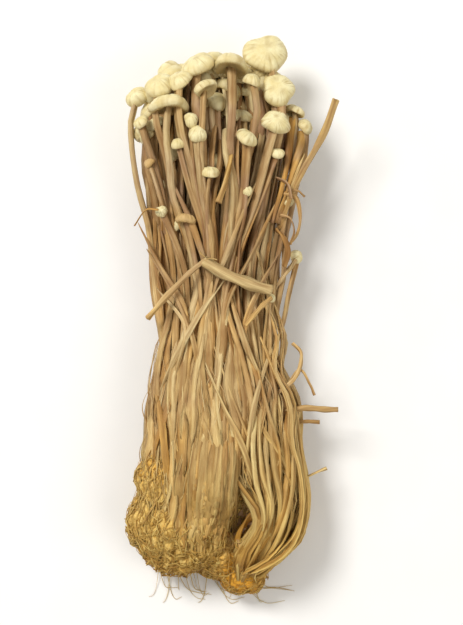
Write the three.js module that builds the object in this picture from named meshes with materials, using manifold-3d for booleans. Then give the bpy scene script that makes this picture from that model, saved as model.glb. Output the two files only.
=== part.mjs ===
// A bunch of dried enoki mushrooms lying on its side.
// The bunch runs along +Y from the cut root to the caps and rests on the plane z = 0. Millimetres.
import * as THREE from 'three';
import { mergeVertices } from 'three/addons/utils/BufferGeometryUtils.js';
import Module from 'manifold-3d';

// Driving dimensions
const GAP = 0.5;              // clear space between neighbouring bodies
const KNOT = 63;              // height at which the stems are squeezed closest
const TOE_X = 5.6;            // middle of the toe that the right-hand stems run into
const STEM = 1.5;             // usual stem diameter
const RIBS = 32;              // ribs round the packed lower half
const CAP = 5.2;              // usual cap diameter
const CORE_Z = 9.6;           // height above the table of the head's packed middle
const SHELL_STEMS = 20;       // drawn stems round the sides and back
const CROWN_CAPS = 11;        // drawn caps over the upper end
const COLLAR_CAPS = 10;       // drawn caps filling the head between the stems
const BARE_STEMS = 9;         // stems without a cap on the top side
const HEAD_FROM = 93;         // caps above this height are part of the head
const ROOT_KNOBS = 20;        // crumbs on the root block
const ORIGIN = [3.46, 56.8];  // middle of the bounding box, so the part is centred on x and y

// Outline of the bunch: height along the stems, middle, half width, half thickness
const OUTLINE = [
  [0, 3.4, 5, 4.6],
  [3, 1.6, 10.4, 6.6],
  [7, 0, 16, 8],
  [12, 0.4, 17.8, 8.6],
  [20, 1.8, 17.2, 9],
  [32, 1.4, 15.6, 8.8],
  [46, 0.2, 14.2, 8],
  [60, 0, 14.8, 8.2],
  [80, 0, 16.2, 9.6],
  [96, 0.2, 17.4, 10.8],
  [106, 0, 15.4, 10],
  [114, 0, 11, 8],
];

// Masses of root and growing mat: middle, half sizes, depth of their lumps and fineness of their faces
const LUMPS = [
  [[-6.2, 14.4, 7.4], [11.2, 10.2, 7.6], 0.05, 26],
  [[-1.2, 24, 9], [7.2, 11.5, 8.2], 0.03, 20],
  [[-10, 22, 7.6], [5.4, 9.5, 7], 0.05, 16],
  [[1, 8.4, 5.4], [6, 5.4, 5.2], 0.05, 14],
  [[5.4, 4.6, 4.6], [4.8, 4.4, 4.4], 0.07, 16],
];

// How far in toward the toe a right-hand stem is drawn, by height
const GATHER = [[1, 0.12], [4, 0.32], [8, 0.58], [12, 0.8], [18, 0.95], [24, 1]];

const wasm = await Module();
wasm.setup();

// ---------- drawing and shape helpers ----------

// A repeatable draw between 0 and 1 for stem i and property k.
function draw(i, k) {
  const s = Math.sin(i * 127.1 + k * 311.7) * 43758.5453;
  return s - Math.floor(s);
}

// The values of a table at height y, its first column being the heights.
function valuesAt(rows, y) {
  let k = 1;
  while (k < rows.length - 1 && rows[k][0] < y) k++;
  const low = rows[k - 1];
  const high = rows[k];
  const t = THREE.MathUtils.clamp((y - low[0]) / (high[0] - low[0]), 0, 1);
  return low.slice(1).map((value, c) => THREE.MathUtils.lerp(value, high[c + 1], t));
}

// Middle, half width and half thickness of the bunch at height y.
function section(y) {
  return valuesAt(OUTLINE, y);
}

// Where a right-hand stem runs low down: round the hollow beside the ball, then in to the toe.
function gathered(x, y) {
  const aside = 7 * THREE.MathUtils.clamp(1.15 - 0.09 * x, 0, 1) * Math.exp(-(((y - 14) / 6) ** 2));
  return TOE_X + (x + aside - TOE_X) * valuesAt(GATHER, y)[0];
}

// A closed body out of a three.js geometry.
function solid(geometry) {
  const g = geometry.clone();
  g.deleteAttribute('normal');
  g.deleteAttribute('uv');
  const merged = mergeVertices(g, 1e-4);
  const index = merged.index.array;
  const tris = [];
  for (let i = 0; i < index.length; i += 3) {
    const [a, b, c] = [index[i], index[i + 1], index[i + 2]];
    if (a !== b && b !== c && c !== a) tris.push(a, b, c);
  }
  const mesh = new wasm.Mesh({
    numProp: 3,
    vertProperties: new Float32Array(merged.attributes.position.array),
    triVerts: new Uint32Array(tris),
  });
  mesh.merge();
  return new wasm.Manifold(mesh);
}

// Joined bodies.
function joined(list) {
  return list.reduce((sum, one) => sum.add(one));
}

// The largest outer skin of a result, with the hollows inside it filled.
function largest(body) {
  const mesh = body.getMesh();
  const owner = Array.from({ length: mesh.numVert }, (_, i) => i);
  const find = (i) => {
    let k = i;
    while (owner[k] !== k) {
      owner[k] = owner[owner[k]];
      k = owner[k];
    }
    return k;
  };
  const tri = mesh.triVerts;
  for (let i = 0; i < tri.length; i += 3) {
    owner[find(tri[i + 1])] = find(tri[i]);
    owner[find(tri[i + 2])] = find(tri[i]);
  }
  const at = (i) => new THREE.Vector3().fromArray(mesh.vertProperties, i * mesh.numProp);
  const skins = new Map();
  for (let i = 0; i < tri.length; i += 3) {
    const key = find(tri[i]);
    if (!skins.has(key)) skins.set(key, { volume: 0, tris: [] });
    const skin = skins.get(key);
    skin.tris.push(tri[i], tri[i + 1], tri[i + 2]);
    skin.volume += at(tri[i]).dot(at(tri[i + 1]).cross(at(tri[i + 2]))) / 6;
  }
  const best = [...skins.values()].sort((a, b) => b.volume - a.volume)[0];
  return new wasm.Manifold(new wasm.Mesh({
    numProp: 3,
    vertProperties: Float32Array.from({ length: mesh.numVert * 3 }, (_, k) => (
      mesh.vertProperties[Math.floor(k / 3) * mesh.numProp + (k % 3)]
    )),
    triVerts: Uint32Array.from(best.tris),
  }));
}

// Edges along which two parts of a body only touch.
function touchingEdges(body) {
  const mesh = body.getMesh();
  const at = (i) => new THREE.Vector3().fromArray(mesh.vertProperties, i * mesh.numProp);
  const key = (v) => v.toArray().map((c) => c.toFixed(4)).join();
  const seen = new Map();
  for (let i = 0; i < mesh.triVerts.length; i += 3) {
    for (let j = 0; j < 3; j++) {
      const ends = [at(mesh.triVerts[i + j]), at(mesh.triVerts[i + ((j + 1) % 3)])];
      const name = ends.map(key).sort().join('|');
      seen.set(name, { ends, count: (seen.get(name)?.count ?? 0) + 1 });
    }
  }
  return [...seen.values()].filter((e) => e.count > 2).map((e) => e.ends);
}

// A fine notch that parts two faces touching along an edge.
function notch([from, to]) {
  const g = new THREE.BoxGeometry(0.16, 0.16, from.distanceTo(to) + 0.16);
  const turn = new THREE.Quaternion().setFromUnitVectors(
    new THREE.Vector3(0, 0, 1),
    to.clone().sub(from).normalize(),
  );
  g.applyQuaternion(turn);
  g.translate((from.x + to.x) / 2, (from.y + to.y) / 2, (from.z + to.z) / 2);
  return solid(g);
}

// One body with its slivers taken out and no two faces merely touching.
function tidy(body) {
  let out = largest(largest(body).simplify(0.1));
  for (let round = 0; round < 6; round++) {
    const edges = touchingEdges(out);
    if (edges.length === 0) break;
    out = largest(edges.reduce((rest, edge) => rest.subtract(notch(edge)), out));
  }
  return out;
}

// A round or flattened rod along a curve, thick by the given rule.
function rod(curve, radiusAt, sides, steps, flat = 1) {
  const g = new THREE.CylinderGeometry(1, 1, 1, sides, steps);
  const frames = curve.computeFrenetFrames(steps);
  const p = g.attributes.position;
  for (let i = 0; i < p.count; i++) {
    const k = Math.round((p.getY(i) + 0.5) * steps);
    const r = radiusAt(k / steps);
    const c = curve.getPointAt(k / steps);
    c.addScaledVector(frames.normals[k], p.getX(i) * r);
    c.addScaledVector(frames.binormals[k], -p.getZ(i) * r * flat);
    p.setXYZ(i, c.x, c.y, c.z);
  }
  return solid(g);
}

// A rod through hand-placed points.
function rodThrough(points, r0, r1, sides, steps, flat) {
  const curve = new THREE.CatmullRomCurve3(points.map((p) => new THREE.Vector3(...p)));
  return rod(curve, (t) => THREE.MathUtils.lerp(r0, r1, t), sides, steps, flat);
}

// A lumpy ball: middle, half sizes, how deep its lumps are and how fine its faces.
function lump(middle, half, depth, phase, grow, round = 24) {
  const g = new THREE.SphereGeometry(1, round, Math.round(round * 0.6));
  const p = g.attributes.position;
  for (let i = 0; i < p.count; i++) {
    const n = new THREE.Vector3().fromBufferAttribute(p, i);
    const wave = Math.sin(5 * n.x + 4 * n.z + phase) * Math.sin(4 * n.y - 3 * n.x + 2 * phase)
      + 0.7 * Math.sin(9 * n.z + 8 * n.y - phase) * Math.cos(8 * n.x + phase);
    const s = 1 + depth * wave;
    p.setXYZ(
      i,
      middle[0] + n.x * (half[0] * s + grow),
      middle[1] + n.y * (half[1] * s + grow),
      middle[2] + n.z * (half[2] * s + grow),
    );
  }
  return solid(g);
}

// Everything below the table.
function underTable() {
  return solid(new THREE.BoxGeometry(200, 300, 40).translate(0, 50, -20));
}

// ---------- the stems and caps, as lists ----------

// Caps that are placed one by one: x, y, diameter, thickness over diameter,
// lean toward +Z and turn toward +X in degrees.
const PLACED = [
  [10.4, 109.8, 9.2, 0.32, 70, 8],
  [3.2, 107.6, 6.6, 0.42, -12, 4],
  [-3.8, 107.4, 7.6, 0.4, 26, -26],
  [-11.4, 103, 6.8, 0.44, 42, -22],
  [-16.2, 101.6, 5, 0.5, 48, -40],
  [-9.2, 98.6, 8.2, 0.36, -6, -2],
  [-2, 101.6, 4.8, 0.5, -24, -34],
  [-15.2, 95.6, 3.6, 0.5, 30, -40],
  [-4.7, 94.9, 3.2, 0.6, 55, -10],
  [-3.3, 92.2, 4.2, 0.6, 44, 12],
  [-7.4, 90.3, 3.2, 0.6, 22, -6],
  [13, 101.9, 7.2, 0.36, 78, 10],
  [12.4, 94.7, 6, 0.42, 72, 12],
  [12.8, 88.9, 3.3, 0.5, 30, 6],
  [18.8, 95.4, 3.8, 0.5, 34, 42],
  [16.6, 98.6, 4.4, 0.4, -5, 24],
  [6.6, 91.6, 5.4, 0.42, 20, 32],
  [-0.9, 84.6, 3.7, 0.5, 22, 0],
  [6.7, 80.8, 2.6, 0.6, 60, 40],
  [-10.8, 77, 2.6, 0.6, 58, -20],
  [-5.8, 75.3, 4.6, 0.44, 2, 6],
  [-13.4, 87.1, 2.6, 0.55, 34, -34],
  [17, 68.5, 3.2, 0.6, 35, 70],
  [11.6, 59.8, 2.4, 0.6, 30, 40],
];

// Stems that cross the others on the upper side: their route and radius.
const CROSSING = [
  [[[-3.2, 50], [1.6, 38], [6.2, 28], [9.6, 15.5]], 0.7],
  [[[14, 50], [10.6, 39], [8.4, 29], [8, 19]], 0.75],
  [[[-16, 76], [-11, 66], [-6, 57], [-5.4, 48]], 0.75],
  [[[13, 80], [8, 69], [3, 59], [1, 50]], 0.8],
  [[[9, 84], [4.4, 73], [1, 64], [-1.6, 55]], 0.7],
  [[[-9, 84], [-4.6, 74], [-1.6, 65], [0.6, 56]], 0.7],
  [[[4, 66], [-3, 56], [-8, 47], [-12, 38]], 0.65],
];

// A stem with its cap, from the cap's middle.
function placedStem(row, i) {
  const [x, y, wide, thick, lean, turn] = row;
  const [cx, a] = section(y);
  const u = THREE.MathUtils.clamp((x - cx) / a, -0.98, 0.98);
  const v = Math.sqrt(1 - u * u) * (y > 105 ? 0.78 : 1);
  return { i, u, v, top: y, aim: x, wide, thick, lean, turn };
}

// A drawn stem: its place in the section, its height and its cap.
function drawnStem(i, u, v, top) {
  return {
    i,
    u,
    v,
    top,
    wide: CAP * (0.72 + 0.62 * draw(i, 3)),
    thick: 0.4 + 0.16 * draw(i, 4),
    lean: 62 * v + 24 * (draw(i, 5) - 0.5),
    turn: 58 * u + 34 * (draw(i, 6) - 0.5),
  };
}

// Stems round the sides and the back, with their caps at staggered heights.
function shellStems() {
  const list = [];
  for (let i = 0; i < SHELL_STEMS; i++) {
    const angle = Math.PI * (0.95 + 1.1 * ((i * 0.618034) % 1));
    const r = 0.86 + 0.12 * draw(i, 1);
    const top = 106 - 11 * draw(i, 2) - 20 * draw(i, 7) ** 6;
    list.push(drawnStem(i, r * Math.cos(angle), r * Math.sin(angle), top));
  }
  return list;
}

// Caps over the upper end of the bunch; their stems are hidden inside.
function crownCaps() {
  const list = [];
  for (let k = 0; k < CROWN_CAPS; k++) {
    const r = 0.86 * Math.sqrt((k + 0.5) / CROWN_CAPS);
    const angle = 0.4 + k * 2.39996;
    const top = 110.8 - 4.5 * r * r - 2 * draw(200 + k, 2);
    list.push(drawnStem(200 + k, r * Math.cos(angle), r * Math.sin(angle), top));
  }
  return list;
}

// Caps that fill the head round the sides and the back.
function collarCaps() {
  const list = [];
  for (let k = 0; k < COLLAR_CAPS; k++) {
    const angle = Math.PI * (0.98 + 1.04 * ((k + 0.5) / COLLAR_CAPS));
    const top = k % 2 ? 96.5 : 103.5;
    list.push(drawnStem(240 + k, 0.92 * Math.cos(angle), 0.92 * Math.sin(angle), top));
  }
  return list;
}

// Stems with no cap that fill the top side between the placed ones.
function bareStems() {
  const list = [];
  for (let k = 0; k < BARE_STEMS; k++) {
    const i = 300 + k;
    const angle = Math.PI * (0.08 + 0.84 * ((k + 0.5) / BARE_STEMS));
    const r = 0.9 + 0.06 * draw(i, 1);
    const stem = drawnStem(i, r * Math.cos(angle), r * Math.sin(angle), 90 + 7 * draw(i, 2));
    list.push({ ...stem, wide: 0 });
  }
  return list;
}

// The tuft that a stem is gathered into at the waist.
function tuft(s) {
  const angle = Math.atan2(s.v, s.u);
  const step = (2 * Math.PI) / 9;
  const mid = (Math.floor(angle / step) + 0.5) * step;
  const r = 0.9 * Math.min(1, Math.hypot(s.u, s.v));
  return [r * Math.cos(mid), r * Math.sin(mid)];
}

// The middle line of a stem at height y, its upper end drawn over to a placed cap.
function stemPoint(s, y) {
  const point = freePoint(s, y);
  if (s.aim !== undefined) point.x += (s.aim - freePoint(s, s.top).x) * (y / s.top) ** 4;
  return point;
}

// Where a stem runs at height y: squeezed in at the knot, fanned out above it.
function freePoint(s, y) {
  const [cx, a, b] = section(y);
  const [tu, tv] = tuft(s);
  const squeeze = 0.5 * THREE.MathUtils.clamp(1.7 * Math.abs(s.v) - 0.2, 0, 1);
  const fan = 1 - squeeze * (1 - THREE.MathUtils.smoothstep(y, KNOT - 6, 98));
  const pull = 0.5 * Math.exp(-(((y - 74) / 15) ** 2));
  const sway = 0.04 * Math.sin(0.1 * y + 6.28 * draw(s.i, 8));
  const u = s.u * fan + (tu - s.u) * pull + sway;
  const v = s.v + (tv - s.v) * pull - 0.5 * sway;
  return new THREE.Vector3(cx + a * 0.94 * u, y, b * (1 + 0.9 * v));
}

// ---------- the shapes ----------

// The way a cap faces.
function facing(s) {
  const lean = THREE.MathUtils.degToRad(s.lean);
  const turn = THREE.MathUtils.degToRad(s.turn);
  return new THREE.Vector3(
    Math.cos(lean) * Math.sin(turn) + 0.2 * Math.sin(lean) * Math.sin(turn),
    Math.cos(lean) * Math.cos(turn),
    Math.sin(lean),
  ).normalize();
}

// A domed cap with a hollow underside, its middle on the stem's end.
function capBody(s, grow) {
  const r = s.wide / 2 + grow;
  const h = s.wide * s.thick + 2 * grow;
  const profile = [
    [0, 0.28 * h - 2 * grow],
    [0.8 * r, 0.05 * h],
    [r, 0.22 * h],
    [0.72 * r, 0.78 * h],
    [0, h],
  ].map((p) => new THREE.Vector2(p[0], p[1]));
  const g = new THREE.LatheGeometry(profile, s.wide > 3.5 ? 8 : 6);
  g.scale(1, 1, 0.84 + 0.16 * draw(s.i, 9));
  g.translate(0, -0.5 * h, 0);
  const spin = new THREE.Quaternion().setFromAxisAngle(new THREE.Vector3(0, 1, 0), 6.28 * draw(s.i, 10));
  const aim = new THREE.Quaternion().setFromUnitVectors(new THREE.Vector3(0, 1, 0), facing(s));
  g.applyQuaternion(aim.multiply(spin));
  const tip = capMiddle(s);
  g.translate(tip.x, tip.y, tip.z);
  return solid(g);
}

// The middle of a cap: on its stem's end, and never below the table.
function capMiddle(s) {
  const tip = stemPoint(s, s.top);
  return tip.setZ(Math.max(tip.z, 0.4 * s.wide * s.thick));
}

// The packed middle of the head.
function headCore(grow) {
  return lump([0.2, 100, CORE_Z], [11.6, 7, 5.6], 0.04, 1, grow, 16);
}

// The short stalk that holds a head cap to the packed middle.
function stalkIn(s, grow) {
  const tip = capMiddle(s);
  const end = new THREE.Vector3(
    0.5 * tip.x,
    Math.min(tip.y - 3.5, 101),
    CORE_Z + 0.34 * (tip.z - CORE_Z),
  );
  const curve = new THREE.LineCurve3(tip, end);
  return rod(curve, () => 0.5 * STEM + grow, 5, 1);
}

// A stem from the packed lower half up into its cap.
function stemBody(s) {
  const foot = 45 + 6 * draw(s.i, 11);
  const points = [];
  for (let k = 0; k <= 4; k++) points.push(stemPoint(s, foot + ((s.top - foot) * k) / 4));
  const r = 0.5 * STEM * (0.84 + 0.34 * draw(s.i, 12));
  const curve = new THREE.CatmullRomCurve3(points);
  return rod(curve, (t) => r * (1.12 - 0.26 * t), 5, 5);
}

// Root block: a ball of root and growing mat, the fused foot of the stems and the toe beside it.
function rootShape(grow) {
  const masses = LUMPS.map(([middle, half, depth, round], k) => (
    lump(middle, half, depth, 0.6 + 1.4 * k, grow, round)
  ));
  return joined([...masses, ...rootStrands(grow), ...rootKnobs(grow)]);
}

// Coarse strands on the root block.
function rootStrands(grow) {
  const list = [];
  for (let k = 0; k < 9; k++) {
    const i = 400 + k;
    const angle = Math.PI * (0.12 + 0.9 * ((k + 0.5) / 9));
    const points = [];
    for (let j = 0; j <= 3; j++) {
      const y = 9 + 8 * j;
      const [cx, a, b] = section(y);
      const r = 0.9 - 0.03 * j + 0.05 * draw(i, j);
      const turn = angle + 0.1 * Math.sin(j + 6 * draw(i, 5));
      points.push([cx - 4 + a * r * 0.6 * Math.cos(turn), y, b * (1 + r * Math.sin(turn))]);
    }
    list.push(rodThrough(points, 1 + grow, 0.6 + grow, 5, 4));
  }
  return list;
}

// Crumbs of growing mat standing out of the ball.
function rootKnobs(grow) {
  const [ball, half] = LUMPS[0];
  const list = [];
  for (let k = 0; k < ROOT_KNOBS; k++) {
    const i = 440 + k;
    const up = 1 - (2 * (k + 0.5)) / ROOT_KNOBS;
    const ring = Math.sqrt(1 - up * up);
    const angle = k * 2.39996;
    const size = 1.5 + 0.9 * draw(i, 1) + grow;
    const g = new THREE.IcosahedronGeometry(size, 0);
    g.rotateX(6 * draw(i, 2));
    g.rotateY(6 * draw(i, 3));
    g.translate(
      ball[0] + 0.95 * half[0] * ring * Math.cos(angle),
      ball[1] + 0.95 * half[1] * ring * Math.sin(angle),
      Math.max(ball[2] + 0.95 * half[2] * up, size),
    );
    list.push(solid(g));
  }
  return list;
}

// Stems that bow out of the right side of the foot and turn in to the cut end.
function bowedStems() {
  const list = [];
  for (let k = 0; k < 6; k++) {
    const i = 500 + k;
    const z = 2.6 + 2.3 * k;
    const out = 18.6 - 0.05 * (z - 8) ** 2 - 1.2 * draw(i, 1);
    list.push(rodThrough(
      [
        [TOE_X + 3 * draw(i, 2), 3.4, Math.min(z, 7)],
        [out - 5.6, 6.6, z * 0.8 + 0.6],
        [out - 1.1, 13, z],
        [out, 21, z],
        [out - 1.4, 31, z],
        [out - 3.4, 44, z],
        [out - 4.5, 58, z],
      ],
      0.8,
      0.75,
      5,
      9,
    ));
  }
  return list;
}

// Stems laid over the others, their ends sunk between them.
function crossingStems() {
  return CROSSING.map(([route, radius]) => {
    const points = route.map(([x, y]) => {
      const [cx, a, b] = section(y);
      const u = Math.min(1, Math.abs(x - cx) / a);
      return [x, y, b * (1 + 0.9 * Math.sqrt(1 - u * u)) + 0.4];
    });
    points[0][2] -= 1.8;
    points[points.length - 1][2] -= 1.8;
    return rodThrough(points, radius, radius, 5, 5);
  });
}

// The thick stick and the thin one beside it, out of the upper right side.
function sticks() {
  return [
    rodThrough([[13.2, 74, 13], [16.4, 83, 14.6], [20.6, 92, 15.2], [25, 100.2, 15.6]], 1, 1.2, 6, 5, 0.7),
    rodThrough([[13.6, 70, 11], [15.6, 80, 12.4], [18.4, 88, 12.8], [22.4, 96.4, 13.2]], 0.7, 0.6, 5, 5),
  ];
}

// Stiff wisps out of the lower right side and a short clump above them.
function wisps() {
  return [
    rodThrough([[14, 36.4, 11.4], [18, 37.2, 12.2], [21.4, 37, 12.6], [25, 36.9, 12.8]], 0.62, 0.62, 5, 4),
    rodThrough([[14, 33.8, 9.4], [17.6, 34.6, 9.9], [21.4, 34.5, 10.2]], 0.6, 0.5, 5, 3),
    rodThrough([[15, 22, 8.4], [18.6, 23.4, 9.4], [22.8, 25.2, 9.8]], 0.6, 0.5, 5, 3),
    rodThrough([[12.4, 64, 10], [15.4, 66.4, 11.2], [17.4, 69.4, 11.6]], 0.8, 1.3, 5, 3),
    rodThrough([[12.6, 40, 12], [16.4, 43.4, 13], [17.6, 48, 13.2]], 0.6, 0.5, 5, 4),
  ];
}

// Lower half of the bunch, where the stems lie packed as ribs, and its narrow core further up.
function ribbedBody() {
  const g = new THREE.SphereGeometry(1, 2 * RIBS, 13);
  const p = g.attributes.position;
  for (let i = 0; i < p.count; i++) {
    const t = 1 - Math.acos(THREE.MathUtils.clamp(p.getY(i), -1, 1)) / Math.PI;
    const y = 4 + 88 * t;
    const [cx, a, b] = section(y);
    const angle = Math.atan2(p.getZ(i), p.getX(i));
    const rib = 0.045 * Math.cos(RIBS * angle) * THREE.MathUtils.clamp((90 - y) / 12, 0, 1);
    const wide = 0.93 - 0.3 * THREE.MathUtils.smoothstep(y, 50, 86);
    const end = Math.min(1, 3.4 * Math.sqrt(Math.max(0, t * (1 - t))));
    const turn = angle + 0.16 * Math.sin(0.09 * y) + 0.05 * Math.sin(3 * angle + 0.12 * y);
    const out = (wide + rib) * end;
    const drawnIn = THREE.MathUtils.clamp(0.3 + 0.7 * ((y - 4) / 14), 0, 1);
    const x = cx + a * out * Math.cos(turn);
    const z = b * (1 + out * drawnIn * Math.sin(turn));
    p.setXYZ(i, x > TOE_X ? gathered(x, y) : TOE_X + (x - TOE_X) * drawnIn, y, z);
  }
  return solid(g);
}

// The broken stem lying loose across the top: a thin half and a thick flat half.
function bentShape(grow) {
  const lie = 16.6;
  const thin = rodThrough(
    [[-13.6, 55.4, 13.6], [-9.4, 59.6, lie], [-5.4, 63.6, lie + 1.2], [-1.8, 66.6, lie + 1.6]],
    0.62 + grow,
    0.72 + grow,
    6,
    6,
  );
  const thick = rodThrough(
    [[-2, 66.4, lie + 1.6], [2.4, 63.8, lie + 1.5], [7, 62, lie + 0.6], [11.6, 60.8, lie - 1.2]],
    1.05 + grow,
    1.15 + grow,
    6,
    6,
    0.66,
  );
  return thin.add(thick);
}

// ---------- the four bodies ----------

function node(name, body, colour, roughness) {
  const mesh = body.getMesh();
  const g = new THREE.BufferGeometry();
  const at = [];
  for (let i = 0; i < mesh.numVert; i++) {
    const k = i * mesh.numProp;
    at.push(
      mesh.vertProperties[k] - ORIGIN[0],
      mesh.vertProperties[k + 1] - ORIGIN[1],
      mesh.vertProperties[k + 2],
    );
  }
  g.setAttribute('position', new THREE.Float32BufferAttribute(at, 3));
  g.setIndex(Array.from(mesh.triVerts));
  const flat = g.toNonIndexed();
  flat.computeVertexNormals();
  const made = new THREE.Mesh(
    flat,
    new THREE.MeshStandardMaterial({ color: colour, roughness, metalness: 0 }),
  );
  made.name = name;
  return made;
}

const table = underTable();
const placed = PLACED.map(placedStem).map((s, k) => ({ ...s, i: 100 + k }));
const stems = [...placed, ...shellStems(), ...bareStems()];
const capped = stems.filter((s) => s.wide > 0);
const headCaps = [...capped.filter((s) => s.top >= HEAD_FROM), ...crownCaps(), ...collarCaps()];
const lowCaps = capped.filter((s) => s.top < HEAD_FROM);

// The head, solid or grown by the clear space.
function headShape(grow) {
  return joined([
    headCore(grow),
    ...headCaps.map((s) => capBody(s, grow)),
    ...headCaps.map((s) => stalkIn(s, grow)),
  ]);
}

const root = tidy(rootShape(0).subtract(table));
const caps = tidy(headShape(0).subtract(table));
const bent = tidy(bentShape(0));
const bunch = joined([
  ribbedBody(),
  ...stems.map(stemBody),
  ...lowCaps.map((s) => capBody(s, 0)),
  ...bowedStems(),
  ...crossingStems(),
  ...sticks(),
  ...wisps(),
]);
const cleared = joined([rootShape(GAP), bentShape(GAP), headShape(GAP)]);
const stalks = tidy(bunch.subtract(cleared).subtract(table));

const part = new THREE.Group();
part.name = 'enoki_bunch';
part.add(
  node('root_base', root, 0xbd9a5a, 0.85),
  node('stems', stalks, 0xa9855a, 0.7),
  node('caps', caps, 0xeadfb0, 0.65),
  node('bent_stem', bent, 0xc9a468, 0.7),
);

export default part;
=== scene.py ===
import math
import bpy
import bmesh
import numpy as np
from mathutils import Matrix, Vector, noise
from mathutils.bvhtree import BVHTree


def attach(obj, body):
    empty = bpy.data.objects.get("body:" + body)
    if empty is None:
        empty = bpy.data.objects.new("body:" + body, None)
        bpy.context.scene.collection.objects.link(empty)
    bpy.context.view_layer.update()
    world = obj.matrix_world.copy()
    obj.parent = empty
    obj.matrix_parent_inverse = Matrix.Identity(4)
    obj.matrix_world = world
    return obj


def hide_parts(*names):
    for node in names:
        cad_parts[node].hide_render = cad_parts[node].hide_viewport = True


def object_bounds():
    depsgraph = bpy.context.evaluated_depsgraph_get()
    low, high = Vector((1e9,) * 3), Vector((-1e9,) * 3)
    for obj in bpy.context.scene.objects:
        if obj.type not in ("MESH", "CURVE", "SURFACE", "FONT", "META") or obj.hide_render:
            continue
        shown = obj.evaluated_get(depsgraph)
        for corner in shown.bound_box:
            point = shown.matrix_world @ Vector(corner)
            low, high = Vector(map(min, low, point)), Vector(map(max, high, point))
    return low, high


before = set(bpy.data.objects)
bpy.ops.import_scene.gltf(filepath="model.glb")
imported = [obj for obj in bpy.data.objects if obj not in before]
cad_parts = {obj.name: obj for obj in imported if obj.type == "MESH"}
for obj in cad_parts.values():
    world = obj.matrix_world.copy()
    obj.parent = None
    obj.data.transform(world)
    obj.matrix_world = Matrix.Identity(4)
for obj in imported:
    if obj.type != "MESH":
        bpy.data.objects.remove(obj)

cad_box = [list(corner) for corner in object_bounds()]


# ---------------------------------------------------------------- root block
# The lump of root and growing mat that the whole bunch grew from: fine matted threads and crumbs, with
# the fused feet of the stems rising out of it. It grew as one mass, was cut off its bed and dried, and
# is pressed flat where the bunch lies on it.
MM = 0.001
CUT_END = Vector((-3.46, -56.8, 0))      # the cut end's middle line, seen from the frame's origin, mm
LUMPS = (                                # middle and half sizes of the masses that grew together, mm
    ((-6.2, 14.4, 7.4), (11.2, 10.2, 7.6)),
    ((-1.2, 24.0, 9.0), (7.2, 11.5, 8.2)),
    ((-10.0, 22.0, 7.6), (5.4, 9.5, 7.0)),
    ((1.0, 8.4, 5.4), (6.0, 5.4, 5.2)),
    ((5.4, 4.4, 4.6), (4.8, 4.4, 4.4)),
    ((7.4, 14.0, 6.6), (5.2, 7.2, 6.6)),
)
HOLLOW = ((5.9, 13.6), 3.4, 5.5)         # dark gap beside the ball: place, radius, depth
HOLLOW_LIP = 11                          # height above which the hollow's walls keep the root's colour
LEAST_SUNK = 5                           # height below which nothing is sunk
COMBED_FROM, COMBED_TO = 13, 22          # heights between which the mat turns into combed threads
TOE = ((5, 4), (3.4, 4.2))               # the smooth orange toe: its middle and reach, across and up
TOE_SMOOTH = 0.6                         # how much of the roughness is taken off it
SIDE_STAIN = ((-12, 3.5), (26, 5))       # an orange patch on the left side: middle and reach
SKIN_GRID = 0.38                         # fineness of the skin that joins the masses, mm
UNDERSIDE = 0.05                         # height of the flat underside above the table, mm


def place(x, y, z):
    """A point of the bunch, in millimetres from its cut end, as a point of the frame."""
    return (Vector((x, y, z)) + CUT_END) * MM


def alone(piece=None):
    """Leaves only this piece selected."""
    bpy.ops.object.select_all(action="DESELECT")
    if piece:
        piece.select_set(True)
        bpy.context.view_layer.objects.active = piece


def apply_all(piece):
    """Applies the piece's modifiers in order and puts its place into its mesh."""
    alone(piece)
    for modifier in list(piece.modifiers):
        bpy.ops.object.modifier_apply(modifier=modifier.name)
    bpy.ops.object.transform_apply(location=True, rotation=True, scale=True)


def joined(name, parts):
    """One piece out of several."""
    alone(parts[0])
    for part in parts:
        part.select_set(True)
    bpy.ops.object.join()
    whole = bpy.context.view_layer.objects.active
    whole.name = whole.data.name = name
    return whole


def lump(middle, half):
    """A ball pulled out to a lump of these half sizes."""
    alone()
    bpy.ops.mesh.primitive_ico_sphere_add(subdivisions=5, radius=MM, location=place(*middle))
    bpy.ops.object.mode_set(mode="EDIT")
    bpy.ops.transform.resize(value=half)
    bpy.ops.object.mode_set(mode="OBJECT")
    return bpy.context.object


def roughen(piece, name, grain, depth, layers):
    """Pushes the surface in and out by a cloudy pattern of this grain."""
    texture = bpy.data.textures.new(name, "CLOUDS")
    texture.noise_scale = grain * MM
    texture.noise_depth = layers
    modifier = piece.modifiers.new(name, "DISPLACE")
    modifier.texture = texture
    modifier.texture_coords = "LOCAL"
    modifier.strength = depth * MM


def flatten_underside(piece):
    """Cuts off what would be below the table and closes the cut."""
    alone(piece)
    bpy.ops.object.mode_set(mode="EDIT")
    bpy.ops.mesh.select_all(action="SELECT")
    bpy.ops.mesh.bisect(
        plane_co=(0, 0, UNDERSIDE * MM), plane_no=(0, 0, 1),
        clear_inner=True, use_fill=True, threshold=0.001 * MM,
    )
    bpy.ops.object.mode_set(mode="OBJECT")


def points_of(mesh, what="co"):
    flat = np.empty(len(mesh.vertices) * 3, dtype=np.float32)
    mesh.vertices.foreach_get(what, flat)
    return flat.reshape(-1, 3).astype(float)


def normals_of(mesh):
    return points_of(mesh, "normal")


def set_points(mesh, points):
    mesh.vertices.foreach_set("co", np.asarray(points, dtype=np.float32).ravel())
    mesh.update()


def bunch_mm(points):
    """Points of the frame as millimetres from the cut end."""
    return points / MM - np.array(CUT_END)


def near(at, spot):
    """How near each point is to a place seen from above, between 0 and 1."""
    (x, wide), (y, tall) = spot
    return np.exp(-((at[:, 0] - x) / wide) ** 2 - ((at[:, 1] - y) / tall) ** 2)


def toe_share(at):
    """How much of each point belongs to the toe, between 0 and 1."""
    return near(at, TOE)


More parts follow.
